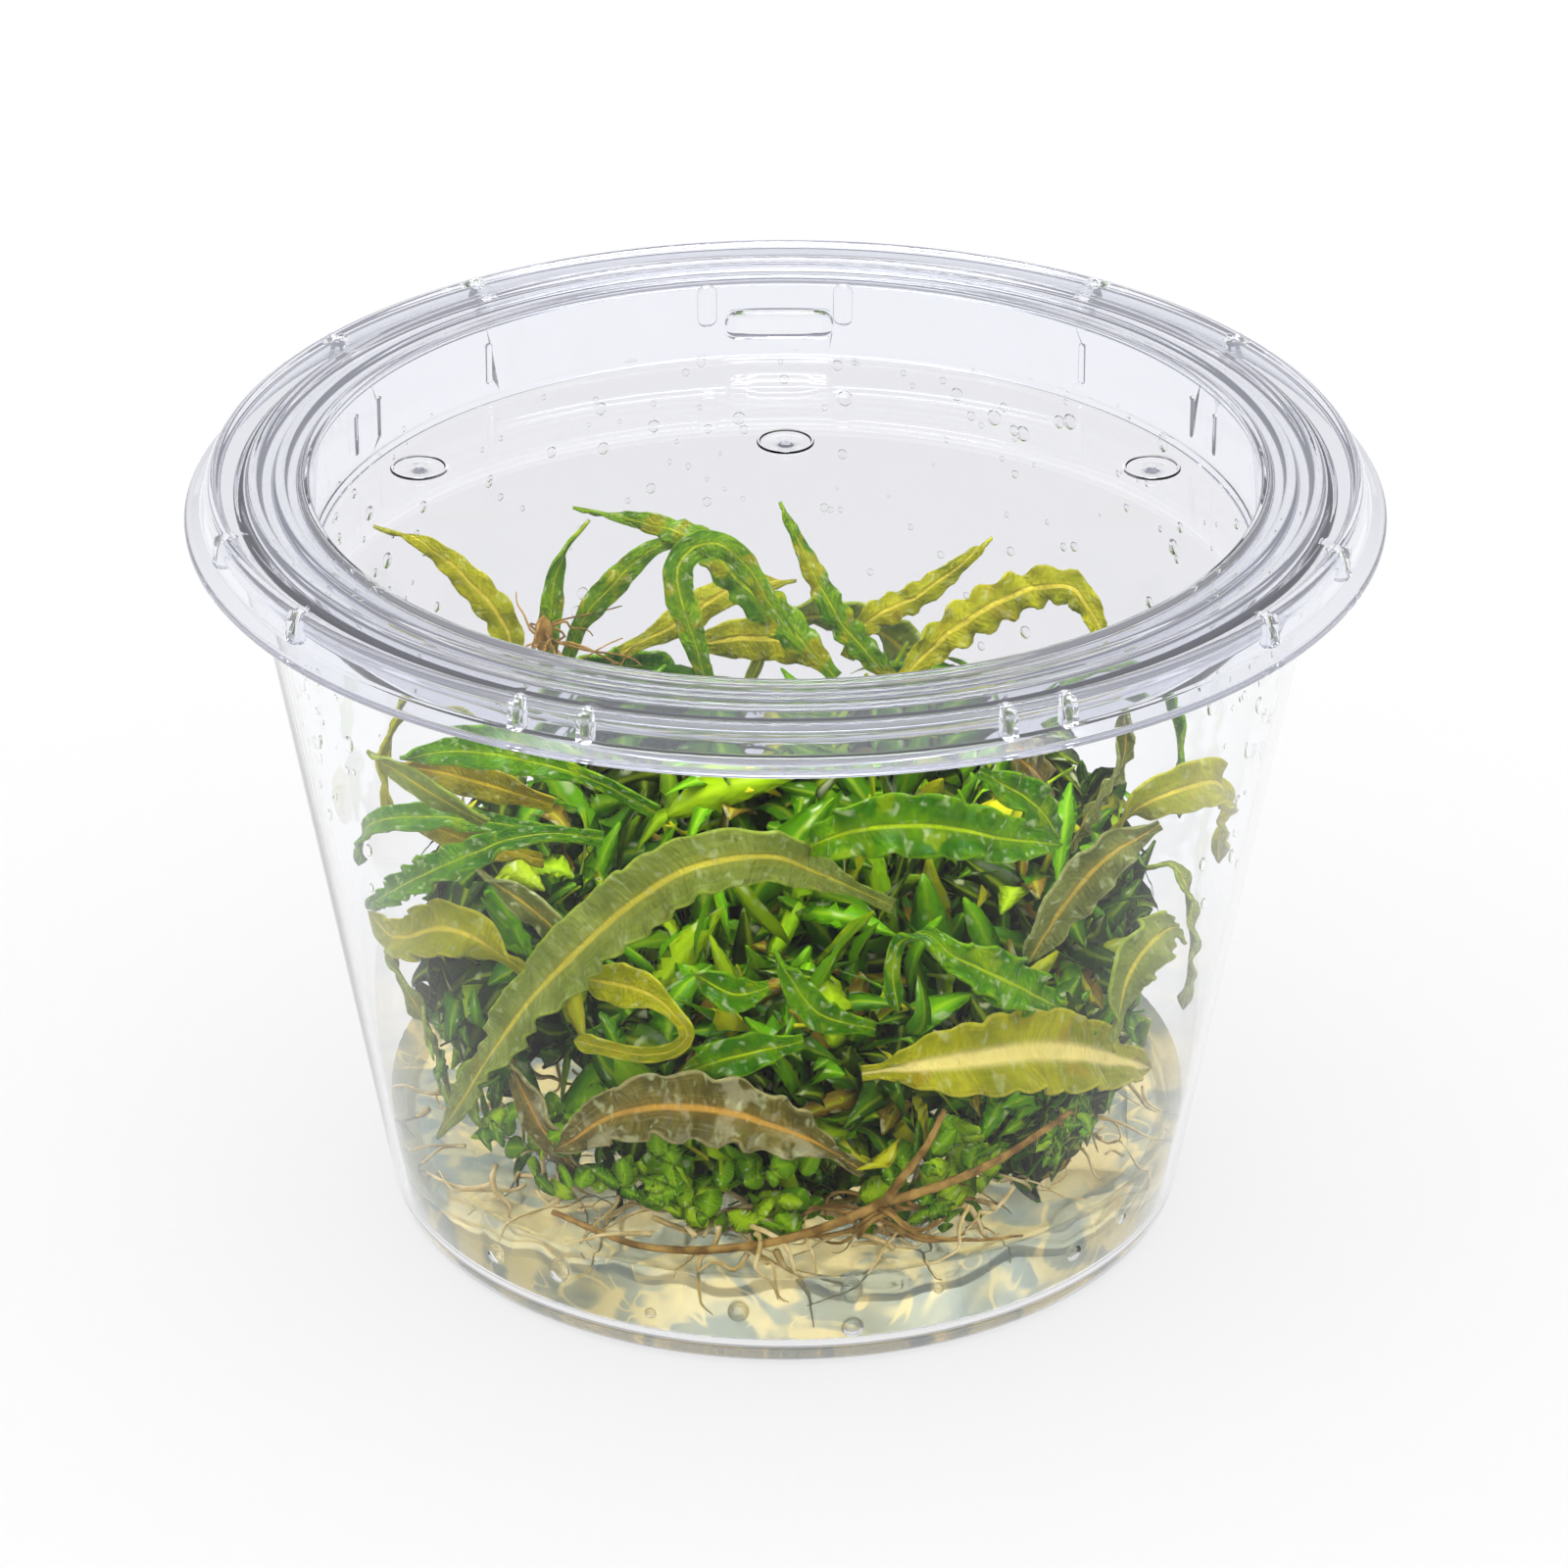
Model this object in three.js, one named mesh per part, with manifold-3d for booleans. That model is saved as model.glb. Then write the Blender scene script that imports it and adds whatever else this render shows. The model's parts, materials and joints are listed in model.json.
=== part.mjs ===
// Tissue culture cup with Cryptocoryne crispatula plants on gel.
// Millimetres, +Z up, the foot of the cup stands on z = 0, the front faces -Y.
import * as THREE from 'three';
import { mergeVertices } from 'three/addons/utils/BufferGeometryUtils.js';
import Module from 'manifold-3d';

const wasm = await Module();
wasm.setup();

// Driving sizes of the cup and its lid
const LID_RADIUS = 52;
const CUP_HEIGHT = 68.2;
const FOOT_RADIUS = 35.3;
const WALL_SLOPE = 0.176;
const WALL = 0.9;
const FLOOR_TOP = 1.6;
const UNDERSIDE_RECESS = 0.6;
const RIM_RADIUS = 47.7;
const PANEL_TOP = 61.8;
const PANEL_RADIUS = 41;
const LID_WALL = 0.8;
const CHANNEL_DEPTH = 1.1;
const CREST_TOP = 69.7;
const GAP = 0.3;
const ROUND_SIDES = 56;

// Driving sizes of the gel and the plants
const GEL_TOP = 9;
const MENISCUS = 0.5;
const BLADE_THICKNESS = 0.45;
const STALK_THICKNESS = 0.9;
const STALK_WIDTH = 1.3;
const ROOT_SIDES = 5;
const SHOULDER = 0.68;
const WELD = 1e-5;

const FINISHES = {
  clear_cup: { color: 0xe9edf2, roughness: 0.06, transparent: true, opacity: 0.3 },
  clear_lid: { color: 0xe6eaf2, roughness: 0.06, transparent: true, opacity: 0.35 },
  gel: { color: 0xd9dcc8, roughness: 0.15, transparent: true, opacity: 0.6 },
  olive: { color: 0x7d8a3c, roughness: 0.45 },
  bright_green: { color: 0x3f8f1e, roughness: 0.35 },
  yellow_green: { color: 0xa3a834, roughness: 0.45 },
  brown_leaf: { color: 0x7a6440, roughness: 0.55 },
  undergrowth: { color: 0x356f1b, roughness: 0.5 },
  root: { color: 0xb08d5e, roughness: 0.6 },
};

/** Welds a geometry's vertices and drops the triangles that this leaves without area. */
function welded(geometry) {
  geometry.deleteAttribute('normal');
  geometry.deleteAttribute('uv');
  const merged = mergeVertices(geometry, WELD);
  const corners = merged.index.array;
  const kept = [];
  for (let i = 0; i < corners.length; i += 3) {
    const [a, b, c] = [corners[i], corners[i + 1], corners[i + 2]];
    if (a !== b && b !== c && c !== a) kept.push(a, b, c);
  }
  merged.setIndex(kept);
  return merged;
}

/** A closed solid of manifold-3d from a three.js geometry. */
function toSolid(geometry) {
  const shape = welded(geometry);
  const mesh = new wasm.Mesh({
    numProp: 3,
    vertProperties: new Float32Array(shape.attributes.position.array),
    triVerts: new Uint32Array(shape.index.array),
  });
  return new wasm.Manifold(mesh);
}

/** The geometry of a manifold-3d solid. */
function toGeometry(solid) {
  const mesh = solid.getMesh();
  const geometry = new THREE.BufferGeometry();
  geometry.setAttribute('position', new THREE.BufferAttribute(mesh.vertProperties, 3));
  geometry.setIndex(new THREE.BufferAttribute(mesh.triVerts, 1));
  return geometry;
}

/** A profile of [radius, height] points turned about the upright axis. */
function turned(profile) {
  const points = profile.map(([radius, height]) => new THREE.Vector2(radius, height));
  return new THREE.LatheGeometry(points, ROUND_SIDES).rotateX(Math.PI / 2);
}

/** A named mesh with a finish of its own. */
function piece(name, geometry, finish) {
  const material = new THREE.MeshStandardMaterial({ metalness: 0, ...FINISHES[finish] });
  material.name = finish;
  const mesh = new THREE.Mesh(geometry, material);
  mesh.name = name;
  return mesh;
}

/** Outer radius of the cup's tapered wall at a height. */
function wallRadius(height) {
  return FOOT_RADIUS + WALL_SLOPE * height;
}

/** The clear cup: recessed underside, foot ring, tapered wall and a thickened rim. */
function cup() {
  const footInner = FOOT_RADIUS - 4;
  const footOuter = FOOT_RADIUS - 1.1;
  const rimUnder = CUP_HEIGHT - 0.8;
  const profile = [
    [0, UNDERSIDE_RECESS],
    [footInner - 0.8, UNDERSIDE_RECESS],
    [footInner, 0],
    [footOuter, 0],
    [FOOT_RADIUS - 0.2, 0.5],
    [wallRadius(1.4), 1.4],
    [wallRadius(rimUnder), rimUnder],
    [RIM_RADIUS, rimUnder + 0.2],
    [RIM_RADIUS, CUP_HEIGHT],
    [wallRadius(CUP_HEIGHT) - WALL, CUP_HEIGHT],
    [wallRadius(2.6) - WALL, 2.6],
    [wallRadius(FLOOR_TOP) - WALL - 1.1, FLOOR_TOP],
    [0, FLOOR_TOP],
  ];
  return piece('cup', welded(turned(profile)), 'clear_cup');
}

/** A small block standing on a circle about the axis, its length along the radius. */
function block(width, length, height, radius, middle, azimuth) {
  return new THREE.BoxGeometry(width, length, height)
    .translate(0, -radius, middle)
    .rotateZ(THREE.MathUtils.degToRad(azimuth));
}

/** The clear press-on lid: sunk panel, three ring crests, skirt with a flared lip, ribs and discs. */
function lid() {
  const panelUnder = PANEL_TOP - LID_WALL;
  const under = CREST_TOP - CHANNEL_DEPTH;
  const profile = [
    [0, panelUnder],
    [PANEL_RADIUS + 0.6, panelUnder],
    [PANEL_RADIUS + 0.9, under],
    [49.2, under],
    [49.9, 66.6],
    [LID_RADIUS - 0.7, 65.8],
    [LID_RADIUS, 65.8],
    [LID_RADIUS, 66.4],
    [50.6, 67.1],
    [50.2, CREST_TOP - 0.8],
    [49.6, CREST_TOP],
    [49, CREST_TOP],
    [48.6, CREST_TOP - 0.4],
    [46.7, CREST_TOP - 0.4],
    [46.2, CREST_TOP],
    [45.6, CREST_TOP],
    [45, CREST_TOP - 0.6],
    [44.2, CREST_TOP - 0.3],
    [42.4, CREST_TOP - 0.4],
    [41.8, CREST_TOP],
    [PANEL_RADIUS, CREST_TOP - 0.4],
    [PANEL_RADIUS, PANEL_TOP],
    [0, PANEL_TOP],
  ];
  const extras = [];

  // Gripping ribs in pairs behind the skirt
  for (const azimuth of [-74, -55, -26, -19, 21.3, 27.5, 54, 71, 125, 145, -125, -145]) {
    extras.push(block(1.4, 2.1, 3.2, 49.35, 67.9, azimuth));
  }

  // Stacking ribs in pairs on the wall of the sunk panel
  for (const azimuth of [60, 66, 112, 118, 139, -112, -118, -139, -66, -60]) {
    extras.push(block(0.8, 0.9, 4, PANEL_RADIUS, 65.4, azimuth));
  }

  // Stacking lug at the back of that wall, between two posts
  for (const azimuth of [172.6, 190.1]) {
    extras.push(block(1.8, 1.2, 4.2, PANEL_RADIUS, 67, azimuth));
  }
  extras.push(block(10.6, 2.2, 3, PANEL_RADIUS, 65, 180.8));

  // Three shallow discs near the back of the panel
  for (const [x, y] of [[-32.6, 16.1], [0, 21.7], [32.6, 16.1]]) {
    const disc = new THREE.CylinderGeometry(2.6, 2.6, 0.6, 16).rotateX(Math.PI / 2);
    extras.push(disc.translate(x, y, PANEL_TOP - 0.05));
  }

  let solid = toSolid(turned(profile));
  for (const extra of extras) {
    solid = solid.add(toSolid(extra));
  }
  return piece('lid', toGeometry(solid), 'clear_lid');
}

/** The layer of culture gel, with a thin raised edge against the wall. */
function gel() {
  const inner = (height) => wallRadius(height) - WALL - GAP;
  const bottom = FLOOR_TOP + GAP;
  const profile = [
    [0, bottom],
    [inner(bottom) - 1.4, bottom],
    [inner(2.9), 2.9],
    [inner(GEL_TOP + MENISCUS), GEL_TOP + MENISCUS],
    [inner(GEL_TOP) - 1.4, GEL_TOP],
    [0, GEL_TOP],
  ];
  return piece('gel', welded(turned(profile)), 'gel');
}

/**
 * Half the width of a leaf at a share of its length: a stalk that opens into a pointed blade.
 * The taper is the share of its width that a blade loses steadily from the stalk to the tip.
 */
function halfWidth(share, width, stalk, taper) {
  const along = Math.max(0, (share - stalk) / (1 - stalk));
  const blade = (width / 2) * (1 - taper * along) * Math.sin(Math.PI * along ** 0.8) ** 0.7;
  return share > 0.7 ? blade : Math.max(STALK_WIDTH / 2, blade);
}

/**
 * A crisped leaf along a curve: rings of four points (two edges, upper and lower midrib)
 * between a base point and a tip point. The upper side faces away from the axis and up, or the
 * way that `facing` says.
 */
function leaf({ name, path, width, finish, facing, stalk = 0.12, taper = 0, rise = 0.6, rings = 9 }) {
  const curve = new THREE.CatmullRomCurve3(path.map((p) => new THREE.Vector3(...p)));
  const points = [];
  for (let i = 0; i < rings; i += 1) {
    const share = (i + 0.35) / (rings - 0.3);
    const middle = curve.getPointAt(share);
    const along = curve.getTangentAt(share);
    const outward = facing
      ? new THREE.Vector3(...facing)
      : new THREE.Vector3(middle.x, middle.y, 0).normalize().setZ(rise);
    const side = new THREE.Vector3().crossVectors(along, outward).normalize();
    const upward = new THREE.Vector3().crossVectors(side, along).normalize();
    const half = halfWidth(share, width, stalk, taper);
    const inBlade = half > STALK_WIDTH / 2;
    const thick = inBlade ? BLADE_THICKNESS : STALK_THICKNESS;
    const lift = inBlade ? 0.12 * half : 0;
    const crimp = inBlade ? 0.1 * width * (i % 2 === 0 ? 1 : -1) * Math.min(1, half) : 0;
    const at = (across, up) => middle.clone().addScaledVector(side, across).addScaledVector(upward, up);
    points.push(at(-half, lift + crimp), at(0, thick / 2), at(half, lift - crimp), at(0, -thick / 2));
  }
  const base = points.push(curve.getPointAt(0)) - 1;
  const tip = points.push(curve.getPointAt(1)) - 1;
  const last = 4 * (rings - 1);
  const triangles = [];
  for (let j = 0; j < 4; j += 1) {
    const next = (j + 1) % 4;
    triangles.push(base, next, j, tip, last + j, last + next);
    for (let i = 0; i < last; i += 4) {
      // the lower faces are split the same way as the upper ones, so the thin blade never crosses itself
      const [near, far] = j < 2 ? [i + next, i + 4 + j] : [i + j, i + 4 + next];
      triangles.push(i + j, i + next, far, near, i + 4 + next, i + 4 + j);
    }
  }
  const geometry = new THREE.BufferGeometry().setFromPoints(points);
  geometry.setIndex(triangles);
  return piece(`leaf_${name}`, geometry, finish);
}

/** A lumpy mound with full shoulders that reaches the tips of the small leaves growing in it. */
function mound({ name, centre, radii, turn = 0 }) {
  const geometry = welded(new THREE.SphereGeometry(1, 11, 8).rotateX(Math.PI / 2));
  const position = geometry.attributes.position;
  for (let i = 0; i < position.count; i += 1) {
    const full = (part) => Math.sign(part) * Math.abs(part) ** SHOULDER;
    const rim = Math.hypot(position.getX(i), position.getY(i));
    const wider = full(rim) / Math.max(rim, WELD);
    const [x, y, z] = [position.getX(i) * wider, position.getY(i) * wider, full(position.getZ(i))];
    const lump = 0.93 + 0.07 * Math.sin(4 * x + 3 * y + turn) * Math.cos(3 * z - 2 * y + turn);
    position.setXYZ(i, x * radii[0] * lump, y * radii[1] * lump, z * radii[2] * lump);
  }
  geometry.translate(...centre);
  return piece(`undergrowth_${name}`, geometry, 'undergrowth');
}

/** A root or runner: a thin round strand along a curve. */
function strand({ name, path, radius }) {
  const curve = new THREE.CatmullRomCurve3(path.map((p) => new THREE.Vector3(...p)));
  const outline = new THREE.Shape();
  for (let i = 0; i < ROOT_SIDES; i += 1) {
    const angle = (2 * Math.PI * i) / ROOT_SIDES;
    const corner = [radius * Math.cos(angle), radius * Math.sin(angle)];
    if (i === 0) outline.moveTo(...corner);
    else outline.lineTo(...corner);
  }
  const geometry = new THREE.ExtrudeGeometry(outline, { steps: 7, extrudePath: curve, curveSegments: 1 });
  return piece(name, welded(geometry), 'root');
}

/** A short rootstock from which leaves and roots grow. */
function rootstock({ name, centre, radii }) {
  const geometry = new THREE.SphereGeometry(1, 9, 6).scale(...radii).rotateY(0.3);
  return piece(`rootstock_${name}`, welded(geometry.translate(...centre)), 'root');
}

/** The way from the plants to a viewer in front and above. */
const VIEWER = [0, -1, 0.5];

const LEAVES = [
  // Against the front of the wall
  {
    name: 'long_olive', width: 5.8, finish: 'olive', rings: 13, rise: 0.5,
    path: [
      [9, -25, 40], [4, -33.5, 47], [-2, -38.5, 52], [-8, -39, 51], [-20, -30, 35.5], [-30.5, -15.5, 11.5],
    ],
  },
  {
    name: 'green_upper', width: 5.2, finish: 'bright_green', stalk: 0.05,
    path: [[1, -34, 50], [6, -38.3, 54.3], [12, -38, 54.5], [18, -35.5, 52], [23, -31, 49]],
  },
  {
    name: 'green_lower', width: 4.7, finish: 'bright_green', stalk: 0.35, rings: 11,
    path: [
      [9.5, -29, 32], [9, -29.5, 36], [10.5, -29, 40], [14, -31, 38.5], [19.3, -27.8, 33.9], [24, -20.3, 27],
    ],
  },
  {
    name: 'small_middle', width: 2.8, finish: 'bright_green', rings: 7,
    path: [[7.5, -29.5, 30.5], [2.5, -33.5, 34.5], [-1, -34.5, 41]],
  },
  {
    name: 'pale_yellow', width: 7.2, finish: 'yellow_green', stalk: 0.04,
    path: [[6.5, -31, 27], [13, -32.8, 29], [22, -28, 27.5], [32, -12.5, 17]],
  },
  {
    name: 'brown_crisp', width: 6, finish: 'brown_leaf', rings: 11,
    path: [[6.5, -32, 18], [2, -34.5, 22.5], [-6, -34.6, 25.5], [-13.5, -32.3, 24], [-19.8, -28, 17.5]],
  },
  {
    name: 'grey_right', width: 4.8, finish: 'olive', stalk: 0.03, rings: 10,
    path: [[20.5, -25, 34.5], [24, -27, 42], [27, -26.5, 45.5], [31.5, -23.5, 47]],
  },
  {
    name: 'yellow_right', width: 4.2, finish: 'yellow_green', rings: 11,
    path: [[27, -20, 43.5], [29.5, -22.5, 48], [33, -21.5, 49.2], [37.2, -15.5, 46.5], [37.5, -11.5, 37]],
  },
  {
    name: 'brown_upright', width: 3.2, finish: 'brown_leaf',
    path: [[24.5, -18, 42], [26.5, -23.5, 49.5], [28, -26, 54], [28.5, -27, 59]],
  },
  {
    name: 'brown_short', width: 3.8, finish: 'brown_leaf', rings: 7,
    path: [[22, -17, 44], [21.5, -23, 51], [18.5, -28, 56.5]],
  },
  {
    name: 'green_short', width: 3.8, finish: 'bright_green', rings: 7,
    path: [[23, -26, 47], [20.5, -31, 53], [16, -34, 57.5]],
  },
  {
    name: 'broad_right', width: 4.6, finish: 'olive', stalk: 0.3,
    path: [[35, -7, 27], [33, -14.5, 32], [29.5, -21, 31.5], [28, -21.5, 24.5]],
  },
  {
    name: 'low_right', width: 3.6, finish: 'yellow_green', rings: 10,
    path: [[32, -1.5, 31], [34.5, -2, 31.5], [36.2, -3.5, 25], [35.5, -4, 18]],
  },
  {
    name: 'crisp_left', width: 3, finish: 'bright_green', rings: 11,
    path: [[-15.5, -26, 47], [-21, -29, 49], [-28.5, -25, 44], [-33, -19, 38.5], [-36.8, -8, 30.5]],
  },
  {
    name: 'pale_left', width: 4.9, finish: 'yellow_green', stalk: 0.25, rings: 11,
    path: [[-19.5, -18.5, 27], [-23, -21, 32], [-28, -22, 36], [-34.2, -13, 30.5], [-36.5, -9.5, 31]],
  },
  {
    name: 'point_left', width: 2, finish: 'yellow_green', rings: 7,
    path: [[-25.5, -22, 46.5], [-29.5, -23.8, 50], [-35.3, -20.5, 52.5]],
  },
  {
    name: 'amber_left', width: 3, finish: 'yellow_green', rings: 7,
    path: [[-20, -16, 45], [-27, -18, 48.5], [-33.3, -15, 48.5]],
  },
  {
    name: 'green_left', width: 2.8, finish: 'bright_green', rings: 11, stalk: 0.3,
    path: [[-11, -24, 48.5], [-17, -27, 53.5], [-26, -26.5, 55.5], [-32.5, -21.8, 52.5]],
  },
  {
    name: 'droop_left', width: 2.4, finish: 'bright_green', rings: 11,
    path: [[-18.5, -18, 43], [-25, -19, 44.8], [-31, -20.5, 46.2], [-35.5, -17, 43.5], [-37, -12, 37]],
  },
  {
    name: 'tan_left', width: 2.6, finish: 'brown_leaf', rings: 7,
    path: [[-21, -15, 39], [-27, -18, 42.5], [-33.5, -13.5, 43]],
  },
  {
    name: 'mauve_left', width: 2.8, finish: 'brown_leaf', rings: 7,
    path: [[-17.5, -18.5, 30.5], [-20.5, -22, 37], [-26.5, -20, 41]],
  },
  {
    name: 'low_left', width: 2.8, finish: 'brown_leaf', rings: 7,
    path: [[-17.5, -25.5, 13.5], [-21, -25.2, 18.5], [-24, -22, 24]],
  },
  {
    name: 'strand_left', width: 2.2, finish: 'olive', rings: 7,
    path: [[-29.5, -9, 11], [-31.5, -9.5, 19], [-35.5, -7, 26]],
  },
  {
    name: 'hook', width: 3.6, finish: 'yellow_green', stalk: 0.62, rings: 13,
    path: [[-18, -28, 28.5], [-11, -32.7, 29.8], [-8.2, -34.3, 32.5], [-11, -32, 35], [-18, -26.5, 34]],
  },
  {
    name: 'glossy_middle', width: 3, finish: 'bright_green', rings: 7,
    path: [[-1.5, -29.5, 34.5], [-4.5, -32, 35.3], [-8, -30.5, 36.8]],
  },
  {
    name: 'glossy_low', width: 3.4, finish: 'bright_green', rings: 7,
    path: [[1.5, -29, 29], [-4, -31.5, 29], [-9, -30, 26.5]],
  },

  // Rising under the lid
  {
    name: 'top_far_left', width: 3.8, finish: 'yellow_green',
    facing: VIEWER, stalk: 0.02, taper: 0.6, rings: 11,
    path: [[-24, 8.5, 44], [-25, 9.5, 49], [-28, 10, 53], [-32, 10.5, 56.5], [-36.5, 11, 58]],
  },
  {
    name: 'top_narrow', width: 2.6, finish: 'bright_green',
    facing: VIEWER, stalk: 0.02, taper: 0.6, rings: 7,
    path: [[-21.5, 12, 43], [-21, 13, 48.5], [-20, 14, 53.5], [-17.5, 15.5, 56.5]],
  },
  {
    name: 'top_left_arch', width: 2.6, finish: 'yellow_green', facing: VIEWER, stalk: 0.2, taper: 0.2,
    path: [[-20, 13.5, 42.5], [-18, 13, 48], [-15, 12.5, 52], [-12, 12.5, 55], [-8.5, 13, 56]],
  },
  {
    name: 'top_long_arch', width: 4.6, finish: 'bright_green',
    facing: VIEWER, stalk: 0.02, taper: 0.65, rings: 13,
    path: [[4.5, 5, 46], [0.5, 6.5, 50], [-4, 9, 53.5], [-7, 11, 56], [-11, 13, 57], [-19, 17, 57]],
  },
  {
    name: 'top_hairpin', width: 2.8, finish: 'bright_green',
    facing: VIEWER, stalk: 0.02, taper: 0.2, rings: 13,
    path: [
      [-6.5, 2, 45.5], [-8.5, 2, 53], [-9.5, 3.5, 57], [-7.5, 5, 59.2],
      [-4.5, 5.5, 58], [-1, 4.5, 53], [1.5, 3, 49.5],
    ],
  },
  {
    name: 'top_middle', width: 3.2, finish: 'bright_green', facing: VIEWER, stalk: 0.02, taper: 0.5,
    path: [[10, 8.5, 43.5], [5, 9, 49.5], [2.5, 11, 53.5], [1, 13, 56], [-0.5, 15, 58.5]],
  },
  {
    name: 'top_right', width: 3.2, finish: 'yellow_green', facing: VIEWER, stalk: 0.05, taper: 0.4,
    path: [[5.5, 11, 45], [7.5, 11.5, 48.5], [11.5, 13, 50], [15, 14.5, 52], [18.5, 16, 54.5]],
  },
  {
    name: 'top_right_arch', width: 4, finish: 'yellow_green', facing: VIEWER, stalk: 0.02, rings: 13,
    path: [
      [10, 5.5, 45], [13.5, 6, 49], [18, 7, 52], [22.5, 8, 53.5],
      [25.5, 7.5, 53.5], [27, 6, 52], [28.5, 4, 49],
    ],
  },
  {
    name: 'top_back', width: 3.2, finish: 'yellow_green', facing: VIEWER, stalk: 0.1, taper: 0.2,
    path: [[-15, 21, 40.5], [-10, 23, 42.5], [-5, 26, 44.5], [1, 29, 44]],
  },
  {
    name: 'top_back_low', width: 4.2, finish: 'yellow_green', facing: VIEWER, stalk: 0.02, rings: 7,
    path: [[4, 15, 42.5], [0, 16.5, 44], [-4, 18, 43.5], [-9, 19.5, 42]],
  },

  // Against the back of the wall
  {
    name: 'back_long', width: 5, finish: 'olive', rings: 13,
    path: [[-5, 33, 27], [0, 37.6, 35.5], [8, 37.3, 35.5], [16.5, 33, 27.5], [27.5, 20.5, 12]],
  },
  {
    name: 'back_green', width: 4.4, finish: 'bright_green',
    path: [[-7, 31, 25.5], [-13, 34, 33], [-21, 30, 32], [-28.5, 22, 24]],
  },
  {
    name: 'back_left_droop', width: 3.6, finish: 'yellow_green',
    path: [[-24, 10, 36], [-30, 12, 41], [-35.6, 12, 38], [-36.4, 10, 29]],
  },
  {
    name: 'back_right_droop', width: 3.6, finish: 'bright_green',
    path: [[23, 10, 41], [29, 13, 43], [34.8, 12.5, 40], [35.8, 10, 30]],
  },
  {
    name: 'back_low_left', width: 4, finish: 'brown_leaf',
    path: [[-6, 31, 14], [-13, 31.5, 22], [-22, 26, 24], [-29, 17.5, 18]],
  },
  {
    name: 'back_low_right', width: 4, finish: 'olive',
    path: [[-2, 31.5, 20], [4, 34.3, 27], [12, 32, 28], [21, 26, 19]],
  },
];

const MOUNDS = [
  { name: 'centre', centre: [0, 0, 27], radii: [14, 12, 18], turn: 0.4 },
  { name: 'front', centre: [-1, -21.5, 20.5], radii: [17, 8, 12], turn: 1.1 },
  { name: 'front_right', centre: [21, -18, 19], radii: [6.2, 5.8, 9.5], turn: 2.3 },
  { name: 'left', centre: [-23.3, -4, 25.5], radii: [8.4, 12, 15.5], turn: 3.2 },
  { name: 'right', centre: [23.2, -2, 27], radii: [8.9, 12, 17.5], turn: 4.1 },
  { name: 'back_left', centre: [-11, 21, 25], radii: [11, 8.5, 16], turn: 5 },
  { name: 'back_right', centre: [12.5, 20.5, 25], radii: [11, 8.5, 16], turn: 5.9 },
];

const ROOTSTOCKS = [
  { name: 'front', centre: [8.6, -31.4, 14.1], radii: [1.4, 1.3, 2.4] },
  { name: 'left', centre: [-21.5, 9, 48.2], radii: [1, 1, 2] },
];

const STRANDS = [
  { name: 'root_right', radius: 0.5, path: [[10.8, -31.2, 15], [17, -29, 16.6], [24.5, -24.5, 19.5]] },
  {
    name: 'root_left', radius: 0.55,
    path: [[6.7, -31.9, 14], [-2, -33.2, 11.4], [-12, -32, 10.4], [-20, -27.5, 11.2]],
  },
  { name: 'stem_right', radius: 0.6, path: [[10, -31.7, 17], [12, -31.2, 20], [13.5, -30.3, 23]] },
];

const group = new THREE.Group();
group.name = 'tissue_culture_cryptocoryne';
group.add(cup(), lid(), gel());
ROOTSTOCKS.forEach((spec) => group.add(rootstock(spec)));
LEAVES.forEach((spec) => group.add(leaf(spec)));
MOUNDS.forEach((spec) => group.add(mound(spec)));
STRANDS.forEach((spec) => group.add(strand(spec)));

export default group;
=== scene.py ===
"""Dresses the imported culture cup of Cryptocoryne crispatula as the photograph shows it.

The cup, the lid and the gel are turned again with fine rounds. Each long leaf is grown again, with
a crisped margin, along the rings of its own solid. The tufts are filled with small leaves. The
round leaves near the gel, the fine roots, the bubbles in the gel and the drops on the wall are added.
"""

import json
import logging
import math
from dataclasses import dataclass, field
from enum import Enum
from typing import Callable, Sequence, Union

import bmesh
import bpy
import numpy as np
from mathutils import Matrix, Vector


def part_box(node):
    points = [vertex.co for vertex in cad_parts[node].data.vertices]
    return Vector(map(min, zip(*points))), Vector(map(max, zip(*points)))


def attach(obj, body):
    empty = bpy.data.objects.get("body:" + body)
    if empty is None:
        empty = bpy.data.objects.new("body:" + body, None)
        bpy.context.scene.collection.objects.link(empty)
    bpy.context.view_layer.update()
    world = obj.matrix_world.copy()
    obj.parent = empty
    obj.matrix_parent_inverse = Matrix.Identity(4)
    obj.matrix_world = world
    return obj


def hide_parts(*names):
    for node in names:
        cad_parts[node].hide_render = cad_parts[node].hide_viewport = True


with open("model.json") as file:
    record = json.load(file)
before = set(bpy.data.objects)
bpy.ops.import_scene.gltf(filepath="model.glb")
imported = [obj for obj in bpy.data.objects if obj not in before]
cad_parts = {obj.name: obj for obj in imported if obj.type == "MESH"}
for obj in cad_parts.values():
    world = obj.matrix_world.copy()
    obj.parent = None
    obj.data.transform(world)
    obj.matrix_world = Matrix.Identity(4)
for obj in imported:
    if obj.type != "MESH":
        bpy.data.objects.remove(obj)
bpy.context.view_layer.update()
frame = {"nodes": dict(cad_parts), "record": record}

log = logging.getLogger("culture_cup")
MM = 0.001
SEED = 20
GOLDEN_TURN = 2.4
UPWARD = np.array([0.0, 0.0, 1.0])
Colour = tuple[float, float, float]
Point = tuple[float, float]
Span = tuple[float, float]
Operand = Union["Signal", float]


# Shader writing

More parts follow.
